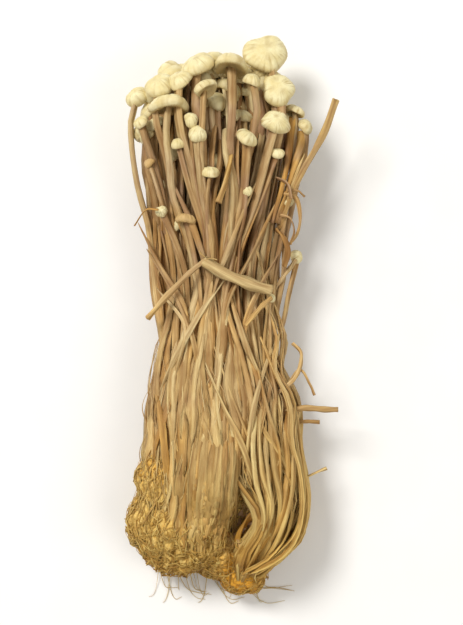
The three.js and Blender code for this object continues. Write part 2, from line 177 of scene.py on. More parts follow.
def hollow_share(at):
    """How deep in the hollow each point is, between 0 and 1."""
    (x, y), wide, _ = HOLLOW
    return near(at, ((x, wide), (y, wide)))


root_block = joined("root_block", [lump(middle, half) for middle, half in LUMPS])
remesh = root_block.modifiers.new("one skin", "REMESH")
remesh.mode = "VOXEL"
remesh.voxel_size = SKIN_GRID * MM
apply_all(root_block)
at = bunch_mm(points_of(root_block.data))
sunk = points_of(root_block.data)
sunk[:, 2] -= HOLLOW[2] * MM * hollow_share(at) * (at[:, 2] > LEAST_SUNK)
set_points(root_block.data, sunk)
smooth_skin = points_of(root_block.data)
roughen(root_block, "lumps", 4.2, 2.4, layers=2)
roughen(root_block, "clots", 1.5, 1.2, layers=3)
apply_all(root_block)
combed = np.clip((at[:, 1] - COMBED_FROM) / (COMBED_TO - COMBED_FROM), 0, 1)
grain = []
for (x, y, z), straight in zip(at, combed):
    bend = 1.6 * noise.noise((0.2 * x, 0.16 * y, 0.2 * z))
    threads = noise.noise((1.7 * x + 2 * bend, 0.2 * y, 1.7 * z))
    threads += 0.5 * noise.noise((3.6 * x + 3 * bend, 0.3 * y, 3.6 * z))
    wool = noise.noise((1.3 * x + 3 * bend, 0.7 * y + 2 * bend, 1.3 * z))
    wool += 0.6 * noise.noise((3 * x, 2 * y + 2 * bend, 3 * z))
    grain.append(straight * threads * 0.75 + (1 - straight) * wool * 0.85)
combed_skin = points_of(root_block.data) + normals_of(root_block.data) * (np.array(grain) * MM)[:, None]
toe = toe_share(at)[:, None]
set_points(root_block.data, combed_skin * (1 - TOE_SMOOTH * toe) + smooth_skin * TOE_SMOOTH * toe)


def keep_value(mesh, name, values):
    """Stores one number for each point, for the finish to read."""
    layer = mesh.attributes.new(name, "FLOAT", "POINT")
    layer.data.foreach_set("value", np.asarray(values, dtype=np.float32).ravel())


class Value:
    """A shader value that can be used in sums."""

    def __init__(self, finish, socket):
        self.finish = finish
        self.socket = socket

    def sum(self, operation, first, second, **settings):
        settings["operation"] = operation
        return self.finish.node("ShaderNodeMath", settings, {0: first, 1: second})

    def __add__(self, other):
        return self.sum("ADD", self, other)

    def __rsub__(self, other):
        return self.sum("SUBTRACT", other, self)

    def __mul__(self, other):
        return self.sum("MULTIPLY", self, other)

    def __rmul__(self, other):
        return self.sum("MULTIPLY", other, self)

    def __pow__(self, other):
        return self.sum("POWER", self, other)

    def held(self):
        """The value kept between 0 and 1."""
        return self.sum("ADD", self, 0.0, use_clamp=True)


class Finish:
    """One material, built node by node."""

    def __init__(self, name, roughness, specular):
        self.material = bpy.data.materials.new(name)
        self.material.use_nodes = True
        self.tree = self.material.node_tree
        self.tree.nodes.clear()
        self.shader = self.tree.nodes.new("ShaderNodeBsdfPrincipled")
        self.shader.inputs["Roughness"].default_value = roughness
        self.shader.inputs["Specular IOR Level"].default_value = specular
        output = self.tree.nodes.new("ShaderNodeOutputMaterial")
        self.tree.links.new(self.shader.outputs[0], output.inputs[0])

    def node(self, kind, settings=None, inputs=None, output=0):
        """A node with these settings, and these values or links on its sockets."""
        made = self.tree.nodes.new(kind)
        for key, value in (settings or {}).items():
            setattr(made, key, value)
        for key, value in (inputs or {}).items():
            self.plug(made.inputs[key], value)
        return Value(self, made.outputs[output])

    def plug(self, socket, value):
        if isinstance(value, Value):
            self.tree.links.new(value.socket, socket)
        elif isinstance(value, tuple) and len(value) == 3 and len(socket.default_value) == 4:
            socket.default_value = (*value, 1)
        else:
            socket.default_value = value

    def attribute(self, name, output="Fac"):
        return self.node("ShaderNodeAttribute", {"attribute_name": name}, output=output)

    def mixed(self, amount, first, second, blend="MIX"):
        """Two colours mixed by an amount."""
        settings = {"data_type": "RGBA", "blend_type": blend}
        return self.node("ShaderNodeMix", settings, {0: amount, 6: first, 7: second}, output=2)

    def noise(self, where, scale, detail, roughness=0.55):
        inputs = {"Vector": where, "Scale": scale, "Detail": detail, "Roughness": roughness}
        return self.node("ShaderNodeTexNoise", None, inputs)

    def spread(self, value, low, high):
        """The value stretched so that low becomes 0 and high becomes 1."""
        inputs = {"Value": value, "From Min": low, "From Max": high}
        return self.node("ShaderNodeMapRange", {"clamp": True}, inputs)

    def set(self, name, value):
        self.plug(self.shader.inputs[name], value)

    def bump(self, height, distance, strength):
        inputs = {"Height": height, "Distance": distance * MM, "Strength": strength}
        self.set("Normal", self.node("ShaderNodeBump", None, inputs))


def root_finish():
    """Tan and gold on the raised grain, painted shade: dark in the pits and mauve brown in the hollow, orange
    on the toe.
    """
    finish = Finish("matted root", roughness=0.88, specular=0.16)
    where = finish.node("ShaderNodeTexCoord", output=3)
    pits = finish.attribute("raised")
    patch = finish.spread(finish.noise(where, 130, 3), 0.38, 0.64)
    speck = finish.spread(finish.noise(where, 1300, 2, 0.7), 0.34, 0.66)
    tan = finish.mixed(patch, (0.75, 0.52, 0.16), (0.85, 0.64, 0.24))
    crumb = finish.mixed(speck, (0.58, 0.35, 0.075), tan)
    # Painted shade: the sunken places of the grain are darkened toward dark brown.
    deep = finish.mixed(finish.spread(pits, -1.3, 0), (0.32, 0.16, 0.03), crumb)
    # Painted shade: the floor of the hollow is coloured a darker mauve brown.
    hollow = finish.mixed(finish.attribute("hollow"), deep, (0.46, 0.29, 0.18))
    stain = finish.mixed(finish.attribute("stain"), hollow, (0.72, 0.35, 0.035))
    finish.set("Base Color", stain)
    finish.bump(speck, 0.18, 0.7)
    return finish.material


rough_skin = points_of(root_block.data)
lift = ((rough_skin - smooth_skin) * normals_of(root_block.data)).sum(axis=1) / MM
at = bunch_mm(rough_skin)
# How far each point stands above or below the smooth skin. The finish paints shade into the low ones.
keep_value(root_block.data, "raised", lift - lift.mean())
# Painted shade: marks the hollow's floor, below its lip, for the darker mauve brown.
keep_value(root_block.data, "hollow", np.clip(1.6 * hollow_share(at), 0, 0.9) * (at[:, 2] < HOLLOW_LIP))
stain = toe_share(at) * (0.9 + 0.06 * at[:, 2]) + near(at, SIDE_STAIN) * 0.45
keep_value(root_block.data, "stain", np.clip(stain, 0, 0.88))
flatten_underside(root_block)
alone(root_block)
bpy.ops.object.shade_smooth()
root_block.data.materials.append(root_finish())
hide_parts("root_base")
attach(root_block, "root")


# ---------------------------------------------------------------- stems
# Long thin stems that grew side by side: packed and half fused from the root up, gathered into
# tufts at the waist, then fanning out to the caps. Drying has flattened, twisted and grooved each one.
KNOT = 63                                # height at which the tufts are squeezed closest
TUFTS = 9                                # tufts round the waist
STEM_WIDE = 1.45                         # usual width of a stem, mm
DRAWN_STEMS = 270
DRAWN_CAP = 5.0                          # usual width of a drawn stem's cap, mm
PLACED_FROM = 100                        # numbers of the stems that are set one by one start here,
DRAWN_FROM = 600                         # those of the drawn ones here,
LOOSE_FROM = 900                         # and those of the loose ones here
SEED_TURN = 2.39996                      # turn from one drawn stem to the next, which spreads them evenly
ROUND = 6.28                             # a full turn
RIGHT_FROM = 0.14                        # stems further right than this share run in to the toe
TOE_X = 5.6                              # the toe that the right-hand stems run into
DOMED = 0.9                              # how far the bunch is rounded up over its middle
RUN_IN = 1.8                             # how far a crossing stem's ends run in among the others, mm
LOWEST_LINE = 0.75                       # least height of a stem's middle line above the table, mm
LOWEST_SKIN = 0.12                       # and of its skin
RINGS = 30                               # rings of points along each stem
STEM_SIDES = 9
DENTS = (                                # shaded dents between the upper stems: middles and reaches, mm
    (-11.5, 83, 3.4, 7.5),
    (-3.2, 79.5, 2, 5),
)
OUTLINE = np.array([                     # height, middle, half width, half thickness, mm
    (0, 3.4, 5, 4.6),
    (3, 1.6, 10.4, 6.6),
    (7, 0, 16, 8),
    (12, 0.4, 17.8, 8.6),
    (20, 1.8, 17.2, 9),
    (32, 1.4, 15.6, 8.8),
    (46, 0.2, 14.2, 8),
    (60, 0, 14.8, 8.2),
    (80, 0, 16.2, 9.6),
    (96, 0.2, 17.4, 10.8),
    (106, 0, 15.4, 10),
    (114, 0, 11, 8),
])
PLACED = [                               # caps set one by one: x, y, width, thickness, lean, turn, kind
    (10.4, 110.2, 9.6, 0.32, 70, 8, "broad"),
    (3.2, 107.6, 7.6, 0.42, -14, 4, "gilled"),
    (-3.8, 107.4, 7.8, 0.4, 28, -26, "dome"),
    (-11.4, 103.0, 7.0, 0.44, 42, -22, "dome"),
    (-16.2, 101.6, 5.2, 0.5, 48, -40, "dome"),
    (-9.2, 98.6, 8.4, 0.36, -6, -2, "gilled"),
    (-2.0, 101.6, 5.0, 0.5, -26, -34, "gilled"),
    (-15.2, 95.6, 3.6, 0.5, 30, -40, "dome"),
    (-4.7, 94.9, 3.4, 0.6, 55, -10, "knob"),
    (-3.3, 92.2, 4.2, 0.6, 44, 12, "knob"),
    (-7.4, 90.3, 3.2, 0.6, 22, -6, "knob"),
    (13.0, 101.9, 7.2, 0.36, 78, 10, "broad"),
    (12.4, 94.7, 6.0, 0.42, 72, 12, "broad"),
    (12.8, 88.9, 3.3, 0.5, 30, 6, "dome"),
    (18.8, 95.4, 3.9, 0.5, 34, 42, "dome"),
    (16.6, 98.6, 4.4, 0.4, -5, 24, "gilled"),
    (6.6, 91.6, 5.6, 0.42, 20, 32, "dome"),
    (-0.9, 84.6, 3.8, 0.5, 22, 0, "knob"),
    (6.7, 80.8, 2.4, 0.6, 60, 40, "knob"),
    (-10.8, 77.0, 2.6, 0.6, 58, -20, "knob"),
    (-5.8, 75.3, 4.6, 0.44, 2, 6, "brown"),
    (-13.4, 87.1, 2.4, 0.55, 34, -34, "brown"),
    (15.2, 79.8, 2.8, 0.6, 30, 60, "knob"),
    (11.6, 59.8, 2.2, 0.6, 30, 40, "knob"),
    (17.0, 68.5, 3.2, 0.6, 35, 70, "knob"),
    (-7.2, 103.8, 5.8, 0.4, 34, -30, "dome"),
    (7.6, 103.8, 4.4, 0.45, 26, 12, "dome"),
]


def keep_vector(mesh, name, values):
    """Stores a place on the skin for each point, for patterns that follow the surface."""
    layer = mesh.attributes.new(name, "FLOAT_VECTOR", "POINT")
    layer.data.foreach_set("vector", np.asarray(values, dtype=np.float32).ravel())


def draw(i, k):
    """A repeatable draw between 0 and 1 for stem i and property k."""
    s = math.sin(i * 127.1 + k * 311.7) * 43758.5453
    return s - math.floor(s)


def section(y):
    """Middle, half width and half thickness of the bunch at these heights."""
    return (np.interp(y, OUTLINE[:, 0], OUTLINE[:, c]) for c in (1, 2, 3))


def stem_row(i, u, v, top, **facts):
    """A stem: its number, its place in the bunch's section and its height."""
    row = {"i": i, "u": u, "v": v, "top": top, "tone": draw(i, 14), "sink": 0}
    row["wide"] = STEM_WIDE * (0.6 + 0.95 * draw(i, 12) ** 1.6)
    row["squeeze"] = 1 - 0.62 * min(1, max(0, 1.7 * abs(v) - 0.2)) * (0.75 + 0.35 * draw(i, 13))
    row["low_u"] = 0.78 * u + 0.46 * (draw(i, 26) - 0.5) * min(1, 1.4 * abs(v))
    row["foot"] = 1.5 + 4 * draw(i, 11) if row["low_u"] > RIGHT_FROM else 16 + 11 * draw(i, 11)
    return {**row, **facts}


def placed_stems():
    """The stems of the caps that are set one by one."""
    rows = []
    for k, (x, y, cap_wide, thick, lean, turn, kind) in enumerate(PLACED):
        middle, half, _ = section(y)
        u = min(max((x - middle) / half, -0.98), 0.98)
        facts = {"cap": cap_wide, "thick": thick, "lean": lean, "turn": turn, "kind": kind}
        facts["wide"] = STEM_WIDE * min(1.5, 0.45 + 0.16 * cap_wide) * (0.85 + 0.3 * draw(k, 12))
        facts["wide"] *= 0.8 if kind == "gilled" else 1
        facts["tone"] = 0.72 * draw(PLACED_FROM + k, 14)
        deep = 0.78 if y > 105 else 1
        rows.append(stem_row(PLACED_FROM + k, u, math.sqrt(1 - u * u) * deep, y, aim=x, **facts))
    return rows


def drawn_stems():
    """Stems spread evenly over the section; those along the top side end below the placed caps."""
    rows = []
    for k in range(DRAWN_STEMS):
        i = DRAWN_FROM + k
        r = 0.97 * math.sqrt((k + 0.5) / DRAWN_STEMS)
        angle = k * SEED_TURN
        u, v = r * math.cos(angle), r * math.sin(angle)
        upper = v > 0.2 and r > 0.45 and u > -0.8
        outer = 10 * draw(i, 7) if r > 0.72 else 0
        top = 110.5 - 5.5 * r * r - 4 * draw(i, 2) - outer - 22 * draw(i, 15) ** 6
        if upper:
            top -= 4 + 26 * draw(i, 16) ** 2
        facts = {
            "sink": 0.45 if upper else 0,
            "cap": 0 if upper else DRAWN_CAP * (0.62 + 0.72 * draw(i, 3)),
            "thick": 0.4 + 0.18 * draw(i, 4),
            "lean": 66 * v + 30 * (draw(i, 5) - 0.5),
            "turn": 60 * u + 40 * (draw(i, 6) - 0.5),
            "kind": ("dome", "dome", "knob", "broad")[int(4 * draw(i, 18))],
        }
        rows.append(stem_row(i, u, v, top, **facts))
    return rows


def tuft(row):
    """The middle of the tuft that a stem is gathered into at the waist."""
    step = 2 * math.pi / TUFTS
    angle = (math.floor(math.atan2(row["v"], row["u"]) / step) + 0.5) * step
    r = 0.9 * min(1, math.hypot(row["u"], row["v"]))
    return r * math.cos(angle), r * math.sin(angle)


def eased(y, heights, values):
    """A smooth curve through values given at these heights."""
    heights, values = np.array(heights, dtype=float), np.array(values, dtype=float)
    slope = np.gradient(values, heights)
    k = np.clip(np.searchsorted(heights, y) - 1, 0, len(heights) - 2)
    span = heights[k + 1] - heights[k]
    t = np.clip((y - heights[k]) / span, 0, 1)
    rise = values[k + 1] - values[k]
    bend = (slope[k] * span - rise) * (1 - t) - (slope[k + 1] * span - rise) * t
    return values[k] + rise * t + bend * t * (1 - t)


def gathered(x, y):
    """Where a right-hand stem runs low down: round the hollow beside the ball, then in to the toe."""
    aside = 7 * np.clip(1.15 - 0.09 * x, 0, 1) * np.exp(-((y - 14) / 6) ** 2)
    share = np.interp(y, (1, 4, 8, 12, 18, 24), (0.12, 0.32, 0.58, 0.8, 0.95, 1))
    return TOE_X + (x + aside - TOE_X) * share


def dented(x, y):
    """How far into the shaded dents these places are, between 0 and 1."""
    return sum(
        np.exp(-((x - across) / wide) ** 2 - ((y - up) / tall) ** 2) for across, up, wide, tall in DENTS
    )


def stem_points(row, y):
    """The stem's middle line at these heights: packed below, squeezed at the knot, fanned above."""
    middle, half, thick = section(y)
    i, u_top, v_top = row["i"], row["u"], row["v"]
    u_knot = u_top * row["squeeze"]
    bends = (row["low_u"],) * 3 + (u_knot, 0.4 * u_knot + 0.6 * u_top, u_top)
    u = eased(y, (0, 24, 44, KNOT, 80, 98), bends)
    tuft_u, tuft_v = tuft(row)
    pull = 0.5 * np.exp(-((y - 74) / 15) ** 2)
    u = u + (tuft_u - u_top) * pull
    v = v_top + (tuft_v - v_top) * pull
    sway = 0.035 * np.sin(0.1 * y + ROUND * draw(i, 8)) + 0.02 * np.sin(0.23 * y + ROUND * draw(i, 9))
    u = u + sway
    v = v - 0.5 * sway - row["sink"] * np.clip((y - row["top"] + 14) / 14, 0, 1) ** 2
    if i >= DRAWN_FROM and v_top > 0:
        v = v - 0.45 * dented(middle + half * u, y)
    over = np.maximum(1, np.hypot(u, v) / 1.02)
    kink = 0.3 * np.sin(0.5 * y + 9 * draw(i, 19)) * draw(i, 20) ** 2
    x = middle + half * 0.94 * u / over + kink
    if row["low_u"] > RIGHT_FROM:
        x = gathered(x, y) + 0.5 * np.sin(0.34 * y + ROUND * draw(i, 27)) * np.clip((38 - y) / 12, 0, 1)
        v = v * np.interp(y, (1, 5, 10), (0.05, 0.55, 1))
    else:
        v = v * np.interp(y, (12, 33), (0.3, 1))
    z = thick * (1 + DOMED * v / over) + 0.6 * kink
    return np.stack([x, y, np.maximum(z, LOWEST_LINE)], axis=1)


def straight_rod(sides, rings):
    """One straight rod of unit length and radius, left in edit mode."""
    alone()
    bpy.ops.mesh.primitive_cylinder_add(
        vertices=sides, radius=1, depth=1, location=(0, 0, 0.5), end_fill_type="TRIFAN",
    )
    rod = bpy.context.object
    bpy.ops.object.transform_apply(location=True, rotation=True, scale=True)
    bpy.ops.object.mode_set(mode="EDIT")
    bpy.ops.mesh.select_mode(type="EDGE")
    bpy.ops.mesh.select_all(action="DESELECT")
    edit = bmesh.from_edit_mesh(rod.data)
    for edge in edit.edges:
        a, b = edge.verts
        edge.select_set(abs(a.co.z - b.co.z) > 0.5)
    bmesh.update_edit_mesh(rod.data)
    bpy.ops.mesh.subdivide(number_cuts=rings - 2)
    bpy.ops.mesh.select_all(action="DESELECT")
    bpy.ops.mesh.select_mode(type="VERT")
    return rod


def grooved_stem(sides, rings):
    """A straight rod with every third line of its points drawn in to a shallow groove."""
    stem = straight_rod(sides, rings)
    edit = bmesh.from_edit_mesh(stem.data)
    for vert in edit.verts:
        turn = math.atan2(vert.co.y, vert.co.x) / (2 * math.pi) * sides
        vert.select_set(round(turn) % 3 == 0 and vert.co.xy.length > 0.5)
    bmesh.update_edit_mesh(stem.data)
    bpy.ops.transform.resize(value=(0.74, 0.74, 1))
    bpy.ops.object.mode_set(mode="OBJECT")
    return stem


def faces_of(mesh):
    """The points of each face, in an order that is the same each time."""
    return sorted(list(polygon.vertices) for polygon in mesh.polygons)


def many(name, master, copies, values, vectors):
    """One piece out of copies of a master, each with points, numbers and skin places of its own."""
    faces = faces_of(master.data)
    size = len(master.data.vertices)
    mesh = bpy.data.meshes.new(name)
    every = [[v + n * size for v in face] for n in range(len(copies)) for face in faces]
    mesh.from_pydata(np.concatenate(copies).tolist(), [], every)
    for key, chunks in values.items():
        keep_value(mesh, key, np.concatenate(chunks))
    for key, chunks in vectors.items():
        keep_vector(mesh, key, np.concatenate(chunks))
    mesh.polygons.foreach_set("use_smooth", np.ones(len(mesh.polygons), dtype=bool))
    piece = bpy.data.objects.new(name, mesh)
    bpy.context.collection.objects.link(piece)
    return piece


def ring_of(rest, steps):
    """Which ring of a straight rod each of its points is on."""
    return np.clip(np.round(rest[:, 2] * (steps - 1)).astype(int), 0, steps - 1)


def follow(line, rest, wide, flat, twist, lobes, lie):
    """Lays a straight rod along a line: its widths, how flat it is, how far it turns, how it lies."""
    steps = len(line)
    along = np.gradient(line, axis=0)
    along /= np.linalg.norm(along, axis=1, keepdims=True)
    side = np.empty_like(line)
    side[0] = np.cross(along[0], (0, 0, 1) if abs(along[0][2]) < 0.9 else (1, 0, 0))
    for k in range(1, steps):
        side[k] = side[k - 1] - along[k] * (side[k - 1] @ along[k])
    side /= np.linalg.norm(side, axis=1, keepdims=True)
    across = np.cross(along, side)
    ring = ring_of(rest, steps)
    angle = np.arctan2(rest[:, 1], rest[:, 0])
    radius = np.hypot(rest[:, 0], rest[:, 1])
    ridge = 0.15 * np.sin(2 * angle + lobes) + 0.12 * np.sin(5 * angle + 3 * lobes + 0.4 * ring)
    lobed = radius * (1 + ridge)
    half = 0.5 * wide[ring] * lobed
    flat_x = half * np.cos(angle)
    flat_y = half * np.sin(angle) * flat
    spin = twist * ring / steps + lie
    x = flat_x * np.cos(spin) - flat_y * np.sin(spin)
    y = flat_x * np.sin(spin) + flat_y * np.cos(spin)
    points = line[ring] + side[ring] * x[:, None] + across[ring] * y[:, None]
    bark = 0.5 * wide[ring]
    skin = np.stack([bark * np.cos(angle), bark * np.sin(angle), line[ring][:, 1]], axis=1)
    return points, skin, ridge + 0.5 * (radius - 0.9)


def to_frame(points):
    """Millimetres from the cut end as points of the frame."""
    return (points + np.array(CUT_END)) * MM


def skin_shift(i, step=7.3):
    """How far a piece's patterns are shifted, so that no two stems or caps have the same."""
    return np.array((step * (i % 91), 0, 0))


def stem_piece(name, rows):
    """A piece out of stems; each row has its line, its width and its tone."""
    master = grooved_stem(STEM_SIDES, RINGS)
    rest = points_of(master.data)
    ring = ring_of(rest, RINGS)
    share = np.linspace(0, 1, RINGS)
    copies, tones, heights, ridges, skins = [], [], [], [], []
    for row in rows:
        i, line = row["i"], row["line"]
        puff = 1 + 0.12 * np.sin(share * 17 + 6 * draw(i, 21)) * draw(i, 22)
        girth = np.interp(line[:, 1], (0, 22, 45, KNOT, 80, 100), (1.1, 1.1, 1, 0.78, 1, 1.06))
        if i >= LOOSE_FROM:
            girth = 1
        wide = row["wide"] * girth * puff * np.linspace(row.get("narrowed", 1), 1, RINGS)
        if row.get("tapered"):
            wide = wide * np.sin(np.pi * np.clip(share, 0.01, 0.99)) ** 0.6
        flat = row.get("flat", 0.42 + 0.4 * draw(i, 23))
        twist = row.get("twist", 8 * (draw(i, 24) - 0.5))
        lobes = ROUND * draw(i, 25)
        points, skin, ridge = follow(line, rest, wide, flat, twist, lobes, row.get("lie", lobes))
        points[:, 2] = np.maximum(points[:, 2], LOWEST_SKIN)
        copies.append(to_frame(points))
        skins.append(skin + skin_shift(i))
        ridges.append(ridge)
        tones.append(np.full(len(points), row["tone"]))
        heights.append(line[ring][:, 1])
    values = {"tone": tones, "height": heights, "ridge": ridges}
    piece = many(name, master, copies, values, {"skin": skins})
    bpy.data.objects.remove(master)
    return piece


def stem_finish(name, low=(0.67, 0.465, 0.175), high=(0.54, 0.35, 0.15), pale=(0.84, 0.69, 0.36)):
    """Dried stem skin: low, high and pale colours, streaked and patched, with painted shade in creases and
    painted light up high.
    """
    finish = Finish(name, roughness=0.5, specular=0.22)
    skin = finish.attribute("skin", "Vector")
    where = finish.node("ShaderNodeTexCoord", output=3)
    tone, height, ridge = (finish.attribute(key) for key in ("tone", "height", "ridge"))
    stretch = {0: skin, 1: (2.6, 2.6, 0.3)}
    long_grain = finish.node("ShaderNodeVectorMath", {"operation": "MULTIPLY"}, stretch)
    streak = finish.spread(finish.noise(long_grain, 1.0, 4, 0.62), 0.3, 0.7)
    blotch = finish.spread(finish.noise(skin, 0.15, 2), 0.38, 0.64)
    rise = finish.spread(height, 46, 70)
    mauve = finish.mixed(finish.spread(finish.noise(skin, 0.09, 2), 0.46, 0.56), high, (0.44, 0.27, 0.155))
    # Darker mauve patches on the stems between heights 22 and 40 mm.
    mauve_patch = finish.spread(finish.noise(where, 75, 2), 0.5, 0.62)
    mauve_patched = finish.mixed((mauve_patch * finish.spread(height, 22, 40) * 0.6).held(), low, (0.50, 0.315, 0.17))
    base = finish.mixed(rise, mauve_patched, mauve)
    amber = finish.spread(finish.noise(skin, 0.05, 1), 0.53, 0.6)
    base = finish.mixed((amber * 0.6).held(), base, (0.76, 0.41, 0.09))
    light = finish.mixed(rise, pale, tuple(0.84 * part for part in pale))
    foot = finish.mixed((finish.spread(height, 13, 3) * 0.85).held(), base, (0.62, 0.31, 0.04))
    # Paler with the tone and the grain. The tone also carries the painted shade of the dents.
    lit = finish.mixed(((tone * 0.8 + streak * 0.3).held() ** 1.7).held(), foot, light)
    dark = finish.mixed((blotch * (1.0 - tone) * 0.8).held(), lit, (0.22, 0.096, 0.027))
    # Painted shade: the grooves and the inward lobes of each stem are darkened.
    crease_shaded = finish.mixed((finish.spread(ridge, 0.12, -0.22) * 0.62).held(), dark, (0.19, 0.082, 0.02))
    grained = finish.mixed(((1.0 - streak) * 0.45).held(), crease_shaded, (0.25, 0.115, 0.032))
    golden = finish.mixed(finish.spread(height, 44, 8), (1.0, 1.0, 1.0), (1.0, 0.955, 0.66))
    # Painted light: the stems are lightened and greyed in a band round the waist, and more up among the caps,
    # lifting the shade there.
    waist_light_band = finish.spread(height, 44, 52) * finish.spread(height, 66, 58)
    waist = finish.mixed(waist_light_band, golden, (1.14, 1.16, 1.18))
    top = finish.mixed(finish.spread(height, 74, 98), waist, (1.11, 1.17, 1.22))
    finish.set("Base Color", finish.mixed(1.0, grained, top, "MULTIPLY"))
    sheen = {"Value": streak, "To Min": 0.62, "To Max": 0.42}
    finish.set("Roughness", finish.node("ShaderNodeMapRange", None, sheen))
    finish.bump(streak, 0.14, 0.7)
    return finish.material


def through(points, steps=RINGS):
    """A smooth line through these points, with evenly shared steps."""
    p = np.array(points, dtype=float)
    p = np.concatenate([[2 * p[0] - p[1]], p, [2 * p[-1] - p[-2]]])
    line = []
    for t in np.linspace(0, len(p) - 3 - 1e-6, steps):
        k, f = int(t), t - int(t)
        a, b, c, d = p[k:k + 4]
        square, cube = 2 * a - 5 * b + 4 * c - d, 3 * b - a - 3 * c + d
        line.append(0.5 * (2 * b + (c - a) * f + square * f ** 2 + cube * f ** 3))
    return np.array(line)


def loose(i, points, wide, tone, **facts):
    """A stem laid through these given points."""
    return {"i": i, "line": through(points), "wide": wide, "tone": tone, **facts}


def over_top(spots, lift):
    """Points at these places, this far above the bunch's upper side, with the ends run in."""
    points = []
    for x, y in spots:
        middle, half, thick = (float(part) for part in section(y))
        u = min(abs(x - middle) / half, 1)
        held = float(np.interp(y, (1, 10), (0.5, 1)))
        points.append([x, y, thick * (1 + DOMED * held * math.sqrt(1 - u * u)) + lift])
    for end in (points[0], points[-1]):
        end[2] -= RUN_IN
    return points


CROSSING = [                             # stems that cross the others on top: route, width, tone
    (((-3.2, 50), (1.6, 38), (6.2, 28), (9.6, 15.5)), 1.3, 0.75),
    (((-1.6, 54), (3.4, 40), (7.6, 29), (11, 17)), 1.1, 0.45),
    (((12.6, 52), (8.6, 40), (6.9, 31), (6.4, 22)), 1.4, 0.8),
    (((14, 50), (10.6, 39), (8.4, 29), (8, 19)), 1.5, 0.35),
    (((-14, 70), (-8, 60), (-4, 50), (-3, 42)), 1.3, 0.3),
    (((-16, 76), (-11, 66), (-6, 57), (-5.4, 48)), 1.5, 0.15),
    (((13, 80), (8, 69), (3, 59), (1, 50)), 1.6, 0.4),
    (((15, 72), (10, 63), (6.6, 55), (5.4, 46)), 1.3, 0.2),
    (((9, 84), (4.4, 73), (1, 64), (-1.6, 55)), 1.4, 0.6),
    (((-9, 84), (-4.6, 74), (-1.6, 65), (0.6, 56)), 1.5, 0.35),
    (((-12, 62), (-6, 54), (-7.4, 46), (-10.6, 36)), 1.2, 0.65),
    (((4, 66), (-3, 56), (-8, 47), (-12, 38)), 1.3, 0.85),
    (((2, 64), (5, 54), (8, 46), (12, 40)), 1.2, 0.55),
    (((13.6, 46), (11.6, 36), (12, 26), (13.2, 18), (11, 9)), 1.9, 0.5),
    (((11, 44), (9, 34), (9.6, 25), (11.4, 17), (8.6, 8)), 1.7, 0.75),
    (((15, 40), (14.2, 32), (14.6, 24), (12.8, 14), (8.8, 6)), 1.5, 0.3),
    (((9.6, 40), (7.8, 31), (8.2, 23), (9.8, 15), (7.4, 7)), 1.6, 0.95),
    (((16, 36), (15.8, 28), (15.4, 20), (12.6, 11), (8, 4)), 1.4, 0.6),
    (((6, 44), (9.4, 34), (13.4, 27), (16.2, 20)), 1.5, 0.2),
]
CROSSING_FROM = 940                      # their numbers start here

stem_rows = placed_stems() + drawn_stems()
for row in stem_rows:
    row["line"] = stem_points(row, np.linspace(row["foot"], row["top"], RINGS))
    if row["i"] >= DRAWN_FROM:
        # Painted shade: drawn stems that pass through the shaded dents get a lower tone, which darkens them.
        row["tone"] *= 1 - 0.8 * dented(row["line"][:, 0], row["line"][:, 1]).max()
    if "aim" in row:
        miss = row["aim"] - row["line"][-1, 0]
        row["line"][:, 0] += miss * np.linspace(0, 1, RINGS) ** 2
crossing_rows = [
    loose(CROSSING_FROM + k, over_top(route, 0.1 + 0.8 * tone ** 2), wide, tone, tapered=True)
    for k, (route, wide, tone) in enumerate(CROSSING)
]
stems = stem_piece("stems", stem_rows + crossing_rows)
stems.data.materials.append(stem_finish("dried stem"))
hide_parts("stems")
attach(stems, "root")


# ---------------------------------------------------------------- caps
# Small domed caps, one on the end of each stem: thin, dried hard, ivory, with the skin drawn into
# radial folds, the rim rolled under and fine gills below. Each one grew on its own stem.
UNDER_RINGS = (                          # each ring of the rim and the underside: its drop, its shrinking
    (-0.13, 0.95), (-0.02, 0.86), (0.16, 0.72), (0.12, 0.55), (0.06, 0.5),
)
GILL_DEPTH = 0.09
BROWN_TONE = 0.98                        # tone of the caps that dried brown
FOLD_DEPTH = {"broad": 0.045, "dome": 0.06, "gilled": 0.05, "knob": 0.1, "brown": 0.08}


def cap_blank(sides, rings, gilled):
    """A dome of unit radius with a rolled rim and a hollow underside, gilled or plain."""
    alone()
    bpy.ops.mesh.primitive_uv_sphere_add(segments=sides, ring_count=2 * rings, radius=1, location=(0, 0, 0))
    cap = bpy.context.object
    bpy.ops.object.mode_set(mode="EDIT")
    bpy.ops.mesh.select_all(action="SELECT")
    bpy.ops.mesh.bisect(plane_co=(0, 0, -0.001), plane_no=(0, 0, 1), clear_inner=True)
    bpy.ops.mesh.select_all(action="DESELECT")
    edit = bmesh.from_edit_mesh(cap.data)
    for edge in edit.edges:
        edge.select_set(edge.is_boundary)
    bmesh.update_edit_mesh(cap.data)
    for drop, shrink in UNDER_RINGS:
        bpy.ops.mesh.extrude_region_move(TRANSFORM_OT_translate={"value": (0, 0, drop)})
        bpy.ops.transform.resize(value=(shrink, shrink, 1))
    bpy.ops.mesh.merge(type="CENTER")
    if gilled:
        bpy.ops.mesh.select_all(action="DESELECT")
        edit = bmesh.from_edit_mesh(cap.data)
        edit.normal_update()
        for vert in edit.verts:
            turn = round(math.atan2(vert.co.y, vert.co.x) / (2 * math.pi) * sides)
            vert.select_set(vert.normal.z < -0.3 and turn % 2 == 0 and 0.1 < vert.co.xy.length < 0.9)
        bmesh.update_edit_mesh(cap.data)
        bpy.ops.transform.translate(value=(0, 0, -GILL_DEPTH))
    bpy.ops.object.mode_set(mode="OBJECT")
    return cap


def facing(row):
    """The way a cap faces: leaning toward the viewer above, turned toward one side."""
    lean, turn = math.radians(row["lean"]), math.radians(row["turn"])
    side = math.cos(lean) * math.sin(turn) + 0.2 * math.sin(lean) * math.sin(turn)
    return Vector((side, math.cos(lean) * math.cos(turn), math.sin(lean))).normalized()


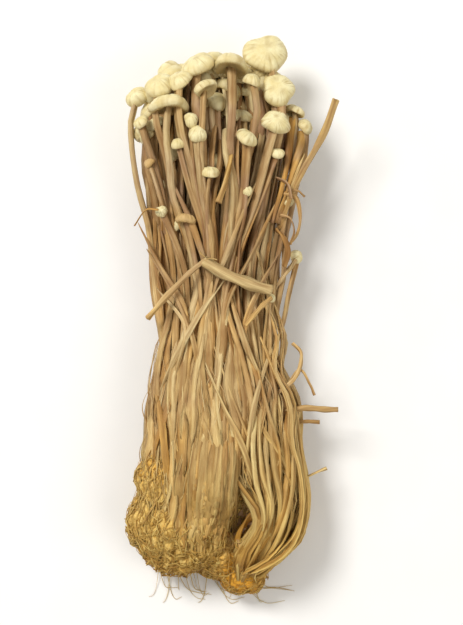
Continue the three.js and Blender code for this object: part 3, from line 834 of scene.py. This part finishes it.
def shrivelled(rest, i, kind):
    """The blank as it dries: lobed rim, radial folds, a sunken top. Also how deep each fold is."""
    angle = np.arctan2(rest[:, 1], rest[:, 0])
    r = np.hypot(rest[:, 0], rest[:, 1])
    z = rest[:, 2].copy()
    p = [ROUND * draw(i, 30 + k) for k in range(8)]
    folds = (19 if kind == "broad" else 9) + int(5 * draw(i, 40))
    depth = FOLD_DEPTH[kind] * (0.6 + 0.8 * draw(i, 41))
    bent = angle + 0.22 * np.sin(2 * angle + p[5]) + 0.14 * np.sin(3 * angle + p[6])
    lobes = 0.05 * np.sin(2 * angle + p[0]) + 0.05 * np.sin(3 * angle + p[1])
    lobes += 0.035 * np.sin(5 * angle + p[2])
    crease = np.abs(np.sin(0.5 * folds * bent + p[3] + 0.9 * np.sin(2 * r + p[4]))) ** 0.45 - 0.75
    fine = np.sin(31 * bent + p[1]) * np.sin(13 * bent + 3 * r + p[2])
    crease = (crease + 0.3 * fine) * np.clip(1.5 * r - 0.15, 0, 1)
    pucker = np.sin(7 * rest[:, 0] + p[5]) * np.sin(6 * rest[:, 1] + p[6]) * np.cos(5 * z + p[7])
    wide = 1 + lobes + 0.5 * depth * crease
    above = z > -0.05
    z = z + np.where(above, depth * crease * 1.2, 0) + 0.45 * depth * pucker
    z = z + 0.1 * np.sin(2 * angle + p[4]) * r ** 2 * (0.3 + draw(i, 42))
    z = z - (0.2 * draw(i, 43) * np.exp(-((r / 0.34) ** 2))) * above
    tuck = 1 - (0.16 * draw(i, 44)) * np.clip(0.25 - rest[:, 2], 0, 0.4) / 0.4
    x, y = rest[:, 0] * wide * tuck, rest[:, 1] * wide * tuck * (0.84 + 0.16 * draw(i, 45))
    return np.stack([x, y, z], axis=1), crease + 0.6 * pucker


def cap_points(row, rest):
    """A cap's points, seated on the end of its stem and facing its own way. Also how deep each fold is."""
    i = row["i"]
    shape, crease = shrivelled(rest, i, row["kind"])
    half, tall = row["cap"] / 2, row["cap"] * row["thick"] / 1.12
    seat = 0.42 - 0.4 * min(1, max(0, (row["lean"] - 40) / 30))
    shape = (shape - (0, 0, seat)) * (half, half, tall)
    spin = ROUND * draw(i, 10)
    cos, sin = math.cos(spin), math.sin(spin)
    shape[:, :2] = shape[:, :2] @ np.array([(cos, sin), (-sin, cos)])
    aim = np.array(Vector((0, 0, 1)).rotation_difference(facing(row)).to_matrix())
    points = shape @ aim.T + row["line"][-1]
    points[:, 2] += max(0, 0.1 - points[:, 2].min())
    return points, crease


def cap_piece(name, rows, sides, rings, gilled=False):
    """A piece out of the caps of these stems, each shrivelled in its own way."""
    master = cap_blank(sides, rings, gilled)
    rest = points_of(master.data)
    out = np.hypot(rest[:, 0], rest[:, 1])
    under = np.clip(-normals_of(master.data)[:, 2] * 2 - 0.2, 0, 1) * (out < 0.9)
    rim = np.clip(out * 5 - 4.1, 0, 1)
    copies, tones, creases, skins = [], [], [], []
    for row in rows:
        i = row["i"]
        points, crease = cap_points(row, rest)
        tone = 0.72 * draw(i, 46) ** (1 if i < DRAWN_FROM else 0.5)
        if row["kind"] == "brown":
            tone = BROWN_TONE
        copies.append(to_frame(points))
        tones.append(np.full(len(rest), tone))
        creases.append(crease)
        skins.append(rest * row["cap"] / 2 + skin_shift(i))
    values = {"tone": tones, "crease": creases, "under": [under] * len(rows), "rim": [rim] * len(rows)}
    piece = many(name, master, copies, values, {"skin": skins})
    bpy.data.objects.remove(master)
    return piece


def cap_finish():
    """Ivory, browner with age, with painted shade in the folds, a worn rim, brown gills and fine specks."""
    finish = Finish("dried cap", roughness=0.46, specular=0.34)
    skin = finish.attribute("skin", "Vector")
    tone, crease, under, rim = (finish.attribute(name) for name in ("tone", "crease", "under", "rim"))
    cloud = finish.spread(finish.noise(skin, 0.35, 2), 0.3, 0.7)
    speck = finish.spread(finish.noise(skin, 3.4, 3, 0.7), 0.28, 0.62)
    cream = finish.mixed(cloud, (0.72, 0.61, 0.29), (0.85, 0.79, 0.49))
    aged = finish.mixed(finish.spread(tone, 0.72, 1.05), cream, (0.52, 0.30, 0.10))
    # Painted shade: the folds and fine wrinkles are darkened, more where the cloud pattern is high.
    fold_shade = finish.spread(crease, 0.1, -0.7) * (cloud * 0.55 + 0.3)
    fold_shaded = finish.mixed(fold_shade.held(), aged, (0.42, 0.29, 0.09))
    edged = finish.mixed((rim * 0.35 * speck).held(), fold_shaded, (0.48, 0.30, 0.10))
    gills = finish.mixed((under * 0.8).held(), edged, (0.52, 0.35, 0.12))
    finish.set("Base Color", finish.mixed((0.16 - 0.16 * speck).held(), gills, (0.42, 0.27, 0.10)))
    finish.bump(speck, 0.1, 0.45)
    return finish.material


capped = [row for row in stem_rows if row.get("cap")]
ivory = cap_finish()
placed = [row for row in capped if row["i"] < DRAWN_FROM]
placed_caps = cap_piece("placed_caps", [row for row in placed if row["kind"] != "gilled"], 80, 8)
gilled_caps = cap_piece("gilled_caps", [row for row in placed if row["kind"] == "gilled"], 80, 7, gilled=True)
head_caps = cap_piece("head_caps", [row for row in capped if row["i"] >= DRAWN_FROM], 28, 5)
for caps in (placed_caps, gilled_caps, head_caps):
    caps.data.materials.append(ivory)
    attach(caps, "root")
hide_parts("caps")


# ---------------------------------------------------------------- outer foot stems, sheet, stick and wisps
# Outer stems that bow away from the foot on the right and turn back in to the cut end, the sheet beside
# them, where a sheaf's feet grew together in pleats, and stems that dried free of the bunch: a stiff
# stick near the head and thin curled wisps down the right side.
BOWED_STEMS, BOWED_FROM = 32, 500        # how many, and where their numbers start
FAN_PLEATS, PLEATS_FROM = 22, 560
FLAT = 0.2                               # thickness over width of a flattened stem
SETTLED_BELOW = 24                       # height below which strands lie on the root block
OVER_ROOT = 0.4                          # how far above it they lie, mm
BOW = (                                  # outline of the right side: height and how far out it reaches
    (3.2, 9.6), (6.6, 14.6), (11.4, 18.1), (17.6, 19.2), (23, 18.6), (30, 17.4), (37, 17.2),
    (44, 14.2), (51, 14.6), (60, 14.2), (70, 15.4),
)


def bowed_rows():
    """The bowed stems, from the toe up the right side, one above the other."""
    rows = []
    for k in range(BOWED_STEMS):
        i = BOWED_FROM + k
        z = 1.0 + 13.4 * (k + 0.5) / BOWED_STEMS
        inward = 0.035 * (z - 8) ** 2 + 0.8 * draw(i, 1) + 2.4 * (k % 3 == 2)
        points = [[TOE_X - 0.5 + 4 * draw(i, 2), 1.6 + 3 * draw(i, 4), min(z, 7.5)]]
        for n, (y, out) in enumerate(BOW[:9 + k % 3]):
            wave = 0.9 * (draw(i, 10 + n) - 0.6) * (0.4 if n < 5 else 1.6)
            lift = 0.16 * max(0, n - 5) * max(0, 7 - z) + 1.6 * (draw(i, 50 + n) - 0.5)
            points.append([out - inward + wave, y + 2 * draw(i, 30 + n), z + lift])
        points[-1][0] -= 3
        wide, tone = 0.6 + 0.9 * draw(i, 12) ** 2, 0.35 + 0.65 * draw(i, 14)
        rows.append(loose(i, points, wide, tone, tapered=k % 2 == 1))
    return rows


root_tree = BVHTree.FromObject(root_block, bpy.context.evaluated_depsgraph_get())


def settled(line):
    """A strand lowered on to the root block where it passes over it."""
    for point in line:
        share = float(np.clip((SETTLED_BELOW - point[1]) / 6, 0, 1))
        if share > 0 and point[2] > 8:
            spot = root_tree.ray_cast(place(point[0], point[1], 40), (0, 0, -1))[0]
            if spot:
                point[2] += min(0, spot.z / MM + OVER_ROOT - point[2]) * share
    return line


def lying(x, y):
    """The turn that lays a flat strand against the upper side of the bunch at this place."""
    middle, half, thick = (float(part) for part in section(y))
    u = min(max((x - middle) / half, -1), 1)
    return math.atan2(thick * u, half * math.sqrt(1 - u * u))


def fan_rows():
    """The feet of a sheaf that grew together into one smooth pleated sheet, spread like a fan."""
    rows = []
    for k in range(FAN_PLEATS):
        i = PLEATS_FROM + k
        share = (k + 0.5) / FAN_PLEATS
        top, foot = -3.6 + 8 * share, -5.4 + 7.8 * share
        route = (
            (top, 32 + 3 * draw(i, 5)),
            (0.7 * top + 0.3 * foot, 27),
            (0.3 * top + 0.7 * foot, 18),
            (foot, 7.5 + 6 * draw(i, 1)),
        )
        points = over_top(route, 0.75 + 0.3 * draw(i, 2))
        lie = lying(0.5 * (top + foot), 22) + 0.9 * (draw(i, 6) - 0.5)
        wide, tone = 1.5 + 1.1 * draw(i, 3), 0.2 + 0.6 * draw(i, 4)
        row = loose(i, points, wide, tone, flat=FLAT, twist=0.1, tapered=True, lie=lie)
        settled(row["line"])
        rows.append(row)
    pale_edge = over_top(((10, 33.6), (10.4, 28), (11, 21), (11.8, 16)), 1.2)
    rows.append(loose(589, pale_edge, 1.2, 1, tapered=True))
    return rows


outer_stems = stem_piece("outer_foot_stems", bowed_rows())
golden = stem_finish("golden stem", (0.74, 0.47, 0.14), (0.56, 0.36, 0.13), (0.88, 0.70, 0.33))
outer_stems.data.materials.append(golden)

STICK = [                                # thin where it leaves the bunch, thick at its end
    [13.4, 74, 11.8], [15.7, 80.4, 14], [18, 85.2, 14.8],
    [20.6, 89.8, 15.2], [22.8, 94, 15.5], [24.8, 100, 15.6],
]
SPLINTER = [[13.6, 75, 11.6], [15.4, 81, 14.2], [17, 85.4, 15], [18.4, 89, 15]]
stick = stem_piece("stick", [
    loose(901, STICK, 2.5, 0.6, flat=0.6, twist=0.6, narrowed=0.4),
    loose(902, SPLINTER, 0.9, 1, flat=0.8, tapered=True),
])
stick.data.materials.append(stem_finish("stick", (0.62, 0.40, 0.13), (0.64, 0.40, 0.12), (0.86, 0.62, 0.26)))

wisps = stem_piece("wisps", [
    loose(911, [[14, 36.4, 11.4], [18, 37.2, 12.2], [21.4, 37, 12.6], [25, 36.9, 12.8]], 1.2, 0.5),
    loose(912, [[14, 33.8, 9.4], [17.6, 34.6, 9.9], [21.4, 34.5, 10.2]], 1.0, 0.3),
    loose(913, [[15, 22, 8.4], [18.6, 23.4, 9.4], [22.8, 25.2, 9.8]], 0.9, 0.95),
    loose(914, [[12.6, 40, 12], [16.4, 43.4, 13], [17.6, 48, 13.2], [15.8, 50.4, 13.4]], 1.0, 0.5),
    loose(915, [[14.4, 41, 11], [17.2, 45, 12.4], [19.4, 41.8, 12.8], [20.2, 39.8, 12.6]], 0.6, 0.4),
    loose(916, [[12.4, 62, 10], [14.8, 65, 11.6], [16.6, 67.6, 12.4]], 1.1, 0.8),
    loose(917, [[14, 81, 14], [16.6, 80, 14.4], [17.5, 76, 14], [16.8, 72.6, 13.4], [14.6, 70, 12.4]],
          0.95, 0.35),
    loose(918, [[14.6, 81.4, 14.2], [16.8, 81.4, 14.8], [18.4, 80.2, 14.4]], 0.55, 0.3),
    loose(919, [[13.4, 76.5, 13.6], [15.4, 75.6, 14.6], [16.2, 73, 14.6], [15.4, 70.4, 13.8]], 0.7, 0.1),
    loose(925, [[12.6, 73.6, 13.4], [14.2, 71.6, 14.4], [15, 68.8, 14.2], [14.2, 66, 13]], 1.2, 0.05),
    loose(927, [[12.6, 84, 15], [14.8, 82.6, 15.8], [15.6, 79.6, 15.4]], 0.8, 0.1),
])
wisps.data.materials.append(stem_finish("wisp", (0.70, 0.43, 0.12), (0.62, 0.38, 0.13), (0.92, 0.74, 0.40)))
fan_sheet = stem_piece("fan_sheet", fan_rows())
fused = stem_finish("fused sheet", (0.62, 0.44, 0.175), (0.60, 0.42, 0.17), (0.76, 0.60, 0.31))
fan_sheet.data.materials.append(fused)
for piece in (outer_stems, stick, wisps, fan_sheet):
    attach(piece, "root")


# ---------------------------------------------------------------- bent stem
# One stem broken loose and lying across the bunch: a thin golden half, and a thick half that dried
# flat and hollow and snapped at the bend, with torn threads where it broke.
TOP_SIDE = 16.6                          # height of the bunch's top side where it lies, mm


def lying_loose(i, points, wide, tone, **facts):
    """A stem laid through points whose heights are above the bunch's top side."""
    return loose(i, [[x, y, TOP_SIDE + z] for x, y, z in points], wide, tone, **facts)


bent_stem = stem_piece("bent_stem", [
    lying_loose(921, [[-13.6, 55.4, -3.0], [-9.4, 59.6, 0], [-5.4, 63.6, 1.2], [-1.8, 66.6, 1.6]],
                1.25, 0.55, flat=0.8, twist=1.2),
    lying_loose(922, [[-2.2, 66.5, 1.6], [2.4, 63.8, 1.5], [7, 62, 0.6], [11.6, 60.8, -1.2]],
                2.3, 0.9, flat=0.5, twist=0.3),
    lying_loose(923, [[-2.2, 66.3, 1.9], [-0.8, 66.9, 2.2], [0.6, 66.6, 2.3]], 0.35, 0.7),
    lying_loose(924, [[-1.6, 66.9, 1.7], [-2.6, 67.8, 1.9], [-3, 68.6, 1.8]], 0.3, 0.6),
])
broken = stem_finish("loose stem", (0.74, 0.50, 0.15), (0.76, 0.50, 0.14), (0.88, 0.70, 0.34))
bent_stem.data.materials.append(broken)
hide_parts("bent_stem")
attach(bent_stem, "root")


# ---------------------------------------------------------------- orange stems
# Stems and bare stem tips without a cap that dried to a deep orange brown, here and there on the upper
# side, and one that curves across the dark hollow beside the toe. They grew with the others.
orange_stems = stem_piece("orange_stems", [
    loose(931, [[3.4, 88, 17.4], [2.4, 83, 19.2], [0.9, 78, 19.6]], 1.3, 0.7, flat=0.9),
    loose(932, [[-16.4, 74.6, 12], [-14, 77.2, 15.5], [-11.3, 77, 17.4]], 0.5, 0.1),
    loose(933, [[6.2, 53.6, 16.4], [9, 57, 16.2], [11.6, 59.4, 15.4]], 0.9, 0.85),
    loose(934, over_top(((-12, 42), (-10.8, 35), (-9.8, 28), (-9.4, 21)), 0.7), 2.2, 0.5,
          tapered=True, twist=1),
    loose(935, over_top(((-8, 44), (-9.4, 37), (-11.6, 30), (-12, 24)), 0.5), 1.7, 0.3,
          tapered=True, twist=2),
    loose(936, over_top(((9.6, 50), (13, 43), (15.6, 37), (16.4, 29)), 0.9), 1.8, 0.6,
          tapered=True, twist=2),
    loose(937, over_top(((13.6, 46), (15.4, 40), (14.6, 33), (15.6, 25)), 0.8), 1.5, 0.3, tapered=True),
    loose(938, [[4.2, 9.6, 8.4], [5.2, 12.6, 9.8], [7.2, 15.2, 10.6], [9.8, 16.4, 11]], 1.8, 0.2),
    loose(971, [[18.0, 94.0, 12.6], [17.3, 90, 13.4], [15.6, 84, 13.8], [12.9, 75, 12.4]], 2.1, 0.45,
          flat=0.5),
    loose(972, [[15.8, 97.0, 12.8], [15.3, 91, 13.8], [14.3, 84, 14.2], [11.6, 75, 13]], 1.7, 0.05,
          flat=0.6),
])
orange = stem_finish("orange stem", (0.62, 0.34, 0.08), (0.62, 0.33, 0.07), (0.80, 0.55, 0.20))
orange_stems.data.materials.append(orange)
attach(orange_stems, "root")


# ---------------------------------------------------------------- root threads, fibres and crumbs
# The root is covered with short matted threads and loose crumbs of mat, pale root hairs trail from the
# cut end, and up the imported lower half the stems' skins have frayed into fine fibres and flat shreds.
THREADS, THREADS_FROM = 2200, 2000       # how many of each, and where their numbers start
HAIRS, HAIRS_FROM = 22, 3000
CRUMBS, CRUMBS_FROM = 220, 4000
FIBRES, FIBRES_FROM = 520, 6000
SHREDS, SHREDS_FROM = 180, 7000
THREAD_STEPS, HAIR_STEPS = 9, 14         # rings of points along each
FEWER_RIGHT = 0.6                        # share of the shreds that the smooth right side lacks


def around(angle, out, y):
    """A point on the bunch's outside at this height, at an angle round it."""
    middle, half, thick = section(y)
    x = middle + 0.94 * half * out * np.cos(angle)
    z = thick * (1 + DOMED * out * np.sin(angle))
    right = x.mean() > 4
    x = gathered(np.maximum(x, 4), y) if right else np.minimum(x, 4)
    return np.stack([x, y, np.maximum(z, 0.3)], axis=1)


def drawn_in(y):
    """How much closer fibres and shreds lie toward the waist, where they run in among the stems."""
    return 0.14 * np.clip((y - 38) / 16, 0, 1)


def fibre_rows():
    """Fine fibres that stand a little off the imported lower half."""
    rows = []
    for k in range(FIBRES):
        i = FIBRES_FROM + k
        start = 9 + 30 * draw(i, 1)
        y = np.linspace(start, start + 7 + 10 * draw(i, 2), THREAD_STEPS)
        begin = ROUND * draw(i, 3)
        angle = begin + (draw(i, 4) - 0.5) * 0.045 * (y - start) + 0.05 * np.sin(0.4 * y + 6 * draw(i, 5))
        arch = np.sin(np.linspace(0, math.pi, THREAD_STEPS))
        out = 0.95 + (0.06 + 0.05 * draw(i, 6)) * arch ** 0.4 + 0.09 * draw(i, 7) ** 4 * arch
        line = settled(around(angle, out - drawn_in(y), y))
        rows.append({"i": i, "line": line, "wide": 0.22 + 0.34 * draw(i, 8) ** 2, "tone": draw(i, 9)})
    return rows


def shred_rows():
    """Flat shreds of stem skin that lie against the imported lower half."""
    rows = []
    for k in range(SHREDS):
        i = SHREDS_FROM + k
        y = np.linspace(7 + 22 * draw(i, 1), 36 + 18 * draw(i, 2), RINGS)
        angle = ROUND * (k + draw(i, 3)) / SHREDS + 0.14 * (draw(i, 4) - 0.5) * (y - y[0]) / 10
        ends = 0.14 * (1 - np.sin(np.linspace(0.05, 3.09, RINGS)) ** 0.35)
        out = 0.99 + 0.03 * draw(i, 6) - ends - drawn_in(y)
        line = settled(around(angle + 0.03 * np.sin(0.35 * y + 6 * draw(i, 5)), out, y))
        if line[:, 0].mean() > 5 and draw(i, 10) < FEWER_RIGHT:
            continue
        outward = angle.mean()
        lie = math.atan2(8.5 * math.cos(outward), 16 * math.sin(outward)) + 1.2 * (draw(i, 11) - 0.5)
        rows.append({
            "i": i,
            "line": line,
            "wide": 1.5 + 3.4 * draw(i, 7) ** 2,
            "tone": 0.1 + 0.7 * draw(i, 8),
            "flat": FLAT,
            "twist": 0.8 * (draw(i, 9) - 0.5),
            "tapered": True,
            "lie": lie,
        })
    return rows


def skin_walk(start, heading, length, steps, lift):
    """A line that creeps over the root block from a start point, turning a little as it goes."""
    line = []
    here, way = Vector(start), Vector(heading).normalized()
    for k in range(steps):
        spot, normal, _, _ = root_tree.find_nearest(here)
        line.append(spot + normal * lift * math.sin(math.pi * (0.12 + 0.8 * k / (steps - 1))))
        way = (way - normal * way.dot(normal)).normalized()
        turn = 0.5 * math.sin(2.3 * k + 40 * start[0] / MM)
        way = (way + normal.cross(way) * turn).normalized()
        here = spot + way * length / (steps - 1)
    return line


def thread_rows():
    """Short threads that creep over the root block, fewer on the toe."""
    points = points_of(root_block.data)
    smooth = toe_share(bunch_mm(points))
    rows = []
    for k in range(THREADS):
        i = THREADS_FROM + k
        spot = int(draw(i, 1) * (len(points) - 1))
        if smooth[spot] > 0.2 + 0.7 * draw(i, 8):
            continue
        start = points[spot]
        spread_way = (draw(i, 2) - 0.5) * 1.5
        heading = (math.sin(spread_way), -math.cos(spread_way), 0.4 * (draw(i, 3) - 0.5))
        length, lift = (3 + 8 * draw(i, 4)) * MM, (0.15 + 0.55 * draw(i, 5)) * MM
        line = bunch_mm(np.array(skin_walk(start, heading, length, THREAD_STEPS, lift)))
        rows.append({"i": i, "line": line, "wide": 0.16 + 0.2 * draw(i, 6), "tone": draw(i, 7)})
    return rows


def thread_piece(name, rows, steps):
    """Fine threads with four sides, tapering to the end."""
    master = straight_rod(4, steps)
    bpy.ops.object.mode_set(mode="OBJECT")
    rest = points_of(master.data)
    share = np.linspace(0, 1, steps)
    copies, tones, heights, skins = [], [], [], []
    for row in rows:
        wide = row["wide"] * (1 - 0.6 * share)
        points, skin, _ = follow(row["line"], rest, wide, 0.8, 2, 0, 0)
        points[:, 2] = np.maximum(points[:, 2], UNDERSIDE)
        copies.append(to_frame(points))
        skins.append(skin + skin_shift(row["i"], 3.1))
        tones.append(np.full(len(points), row["tone"]))
        heights.append(points[:, 1])
    piece = many(name, master, copies, {"tone": tones, "height": heights}, {"skin": skins})
    bpy.data.objects.remove(master)
    return piece


def crumb_piece():
    """Loose crumbs of mat, half sunk in the root block."""
    alone()
    bpy.ops.mesh.primitive_ico_sphere_add(subdivisions=1, radius=1, location=(0, 0, 0))
    master = bpy.context.object
    bpy.ops.object.mode_set(mode="EDIT")
    bpy.ops.transform.resize(value=(1, 0.8, 0.7))
    bpy.ops.object.mode_set(mode="OBJECT")
    rest = points_of(master.data)
    points = points_of(root_block.data)
    outward = normals_of(root_block.data)
    smooth = toe_share(bunch_mm(points))
    copies, tones, skins = [], [], []
    for k in range(CRUMBS):
        i = CRUMBS_FROM + k
        spot = int(draw(i, 1) * (len(points) - 1))
        if smooth[spot] > 0.3:
            continue
        size = (0.22 + 0.42 * draw(i, 2) ** 2) * MM
        knobbly = rest * (1 + 0.3 * np.sin(5 * rest[:, [1, 2, 0]] + 6 * draw(i, 3)))
        copies.append(points[spot] + outward[spot] * size * 0.3 + knobbly * size)
        copies[-1][:, 2] = np.maximum(copies[-1][:, 2], UNDERSIDE * MM)
        tones.append(np.full(len(rest), draw(i, 4)))
        skins.append(knobbly + np.array((5.7 * (i % 83), 0, 0)))
    heights = [np.full(len(rest), 8.0)] * len(copies)
    piece = many("crumbs", master, copies, {"tone": tones, "height": heights}, {"skin": skins})
    bpy.data.objects.remove(master)
    return piece


def hair_rows():
    """Root hairs that run out from under the cut end and lie on the table."""
    rows = []
    for k in range(HAIRS):
        i = HAIRS_FROM + k
        x = -13 + 21 * (k + draw(i, 1)) / HAIRS
        fall = 0.4 + 3.4 * draw(i, 2) ** 2
        side = 13 * (draw(i, 3) - 0.25)
        points = [
            [x, 7, 1 + 2 * draw(i, 4)],
            [x + 0.3 * side, 3.4, 0.9],
            [x + 0.6 * side, 1 - 0.4 * fall, 0.25],
            [x + side, 1 - fall, 0.2],
            [x + 1.5 * side, 1 - fall - 1.6 * (draw(i, 5) - 0.5), 0.2],
        ]
        wide, tone = 0.16 + 0.14 * draw(i, 6), 0.8 + 0.2 * draw(i, 7)
        rows.append({"i": i, "line": through(points, HAIR_STEPS), "wide": wide, "tone": tone})
    return rows


thread_gold = stem_finish("root thread", (0.80, 0.55, 0.17), (0.7, 0.5, 0.16), (0.96, 0.78, 0.36))
hair_pale = stem_finish("root hair", (0.80, 0.66, 0.38), (0.8, 0.66, 0.38), (0.90, 0.80, 0.56))
fibre_pale = stem_finish("frayed fibre", (0.66, 0.465, 0.185), (0.58, 0.38, 0.16), (0.84, 0.69, 0.38))
root_threads = thread_piece("root_threads", thread_rows(), THREAD_STEPS)
crumbs = crumb_piece()
root_hairs = thread_piece("root_hairs", hair_rows(), HAIR_STEPS)
for piece, finish in ((root_threads, thread_gold), (crumbs, thread_gold), (root_hairs, hair_pale)):
    piece.data.materials.append(finish)
    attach(piece, "root")
fibres = thread_piece("frayed_fibres", fibre_rows(), THREAD_STEPS)
shreds = stem_piece("flat_shreds", shred_rows())
for piece in (fibres, shreds):
    piece.data.materials.append(fibre_pale)
    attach(piece, "root")


# ---------------------------------------------------------------- table, light and camera
# A plain pale table under soft light from a large window up and to the left, with a weak fill from the
# right. The bunch is seen from nearly straight above.
VIEW_TILT = 84                           # degrees above the table
BUNCH_LENGTH = 0.113
MARGIN = 1.13                            # how much more than the bunch's length the camera takes in


def pale_table():
    finish = Finish("pale table", roughness=0.6, specular=0.2)
    where = finish.node("ShaderNodeTexCoord", output=3)
    shade = finish.mixed(finish.noise(where, 60, 2), (0.81, 0.81, 0.80), (0.87, 0.87, 0.865))
    finish.set("Base Color", shade)
    alone()
    bpy.ops.mesh.primitive_grid_add(x_subdivisions=4, y_subdivisions=4, size=6, location=(0, 0, 0))
    table = bpy.context.object
    table.name = "table"
    table.data.materials.append(finish.material)


def window_light(name, place_m, size, power, colour):
    """A round soft light that points at the bunch."""
    light = bpy.data.lights.new(name, "AREA")
    light.shape = "DISK"
    light.size = size
    light.energy = power
    light.color = colour
    lamp = bpy.data.objects.new(name, light)
    lamp.location = place_m
    lamp.rotation_euler = (-lamp.location).to_track_quat("-Z", "Y").to_euler()
    bpy.context.collection.objects.link(lamp)


pale_table()
window_light("window", (-0.35, 0.30, 0.62), 0.28, 4.8, (1.0, 0.98, 0.95))
window_light("fill", (0.45, -0.25, 0.50), 0.5, 1.5, (1.0, 0.975, 0.93))
world = bpy.data.worlds.new("room")
world.use_nodes = True
world.node_tree.nodes["Background"].inputs[0].default_value = (1.0, 0.965, 0.91, 1)
world.node_tree.nodes["Background"].inputs[1].default_value = 0.5
bpy.context.scene.world = world
bpy.context.scene.view_settings.view_transform = "Standard"

low, high = (Vector(corner) for corner in cad_box)
middle = (low + high) / 2
lens = bpy.data.cameras.new("camera")
lens.lens = 85
lens.sensor_fit = "VERTICAL"
lens.sensor_height = 36
camera = bpy.data.objects.new("camera", lens)
bpy.context.collection.objects.link(camera)
tilt = math.radians(VIEW_TILT)
distance = BUNCH_LENGTH * MARGIN * lens.lens / lens.sensor_height
camera.location = middle + Vector((0, -math.cos(tilt), math.sin(tilt))) * distance
camera.rotation_euler = (math.radians(90) - tilt, 0, 0)
bpy.context.scene.camera = camera
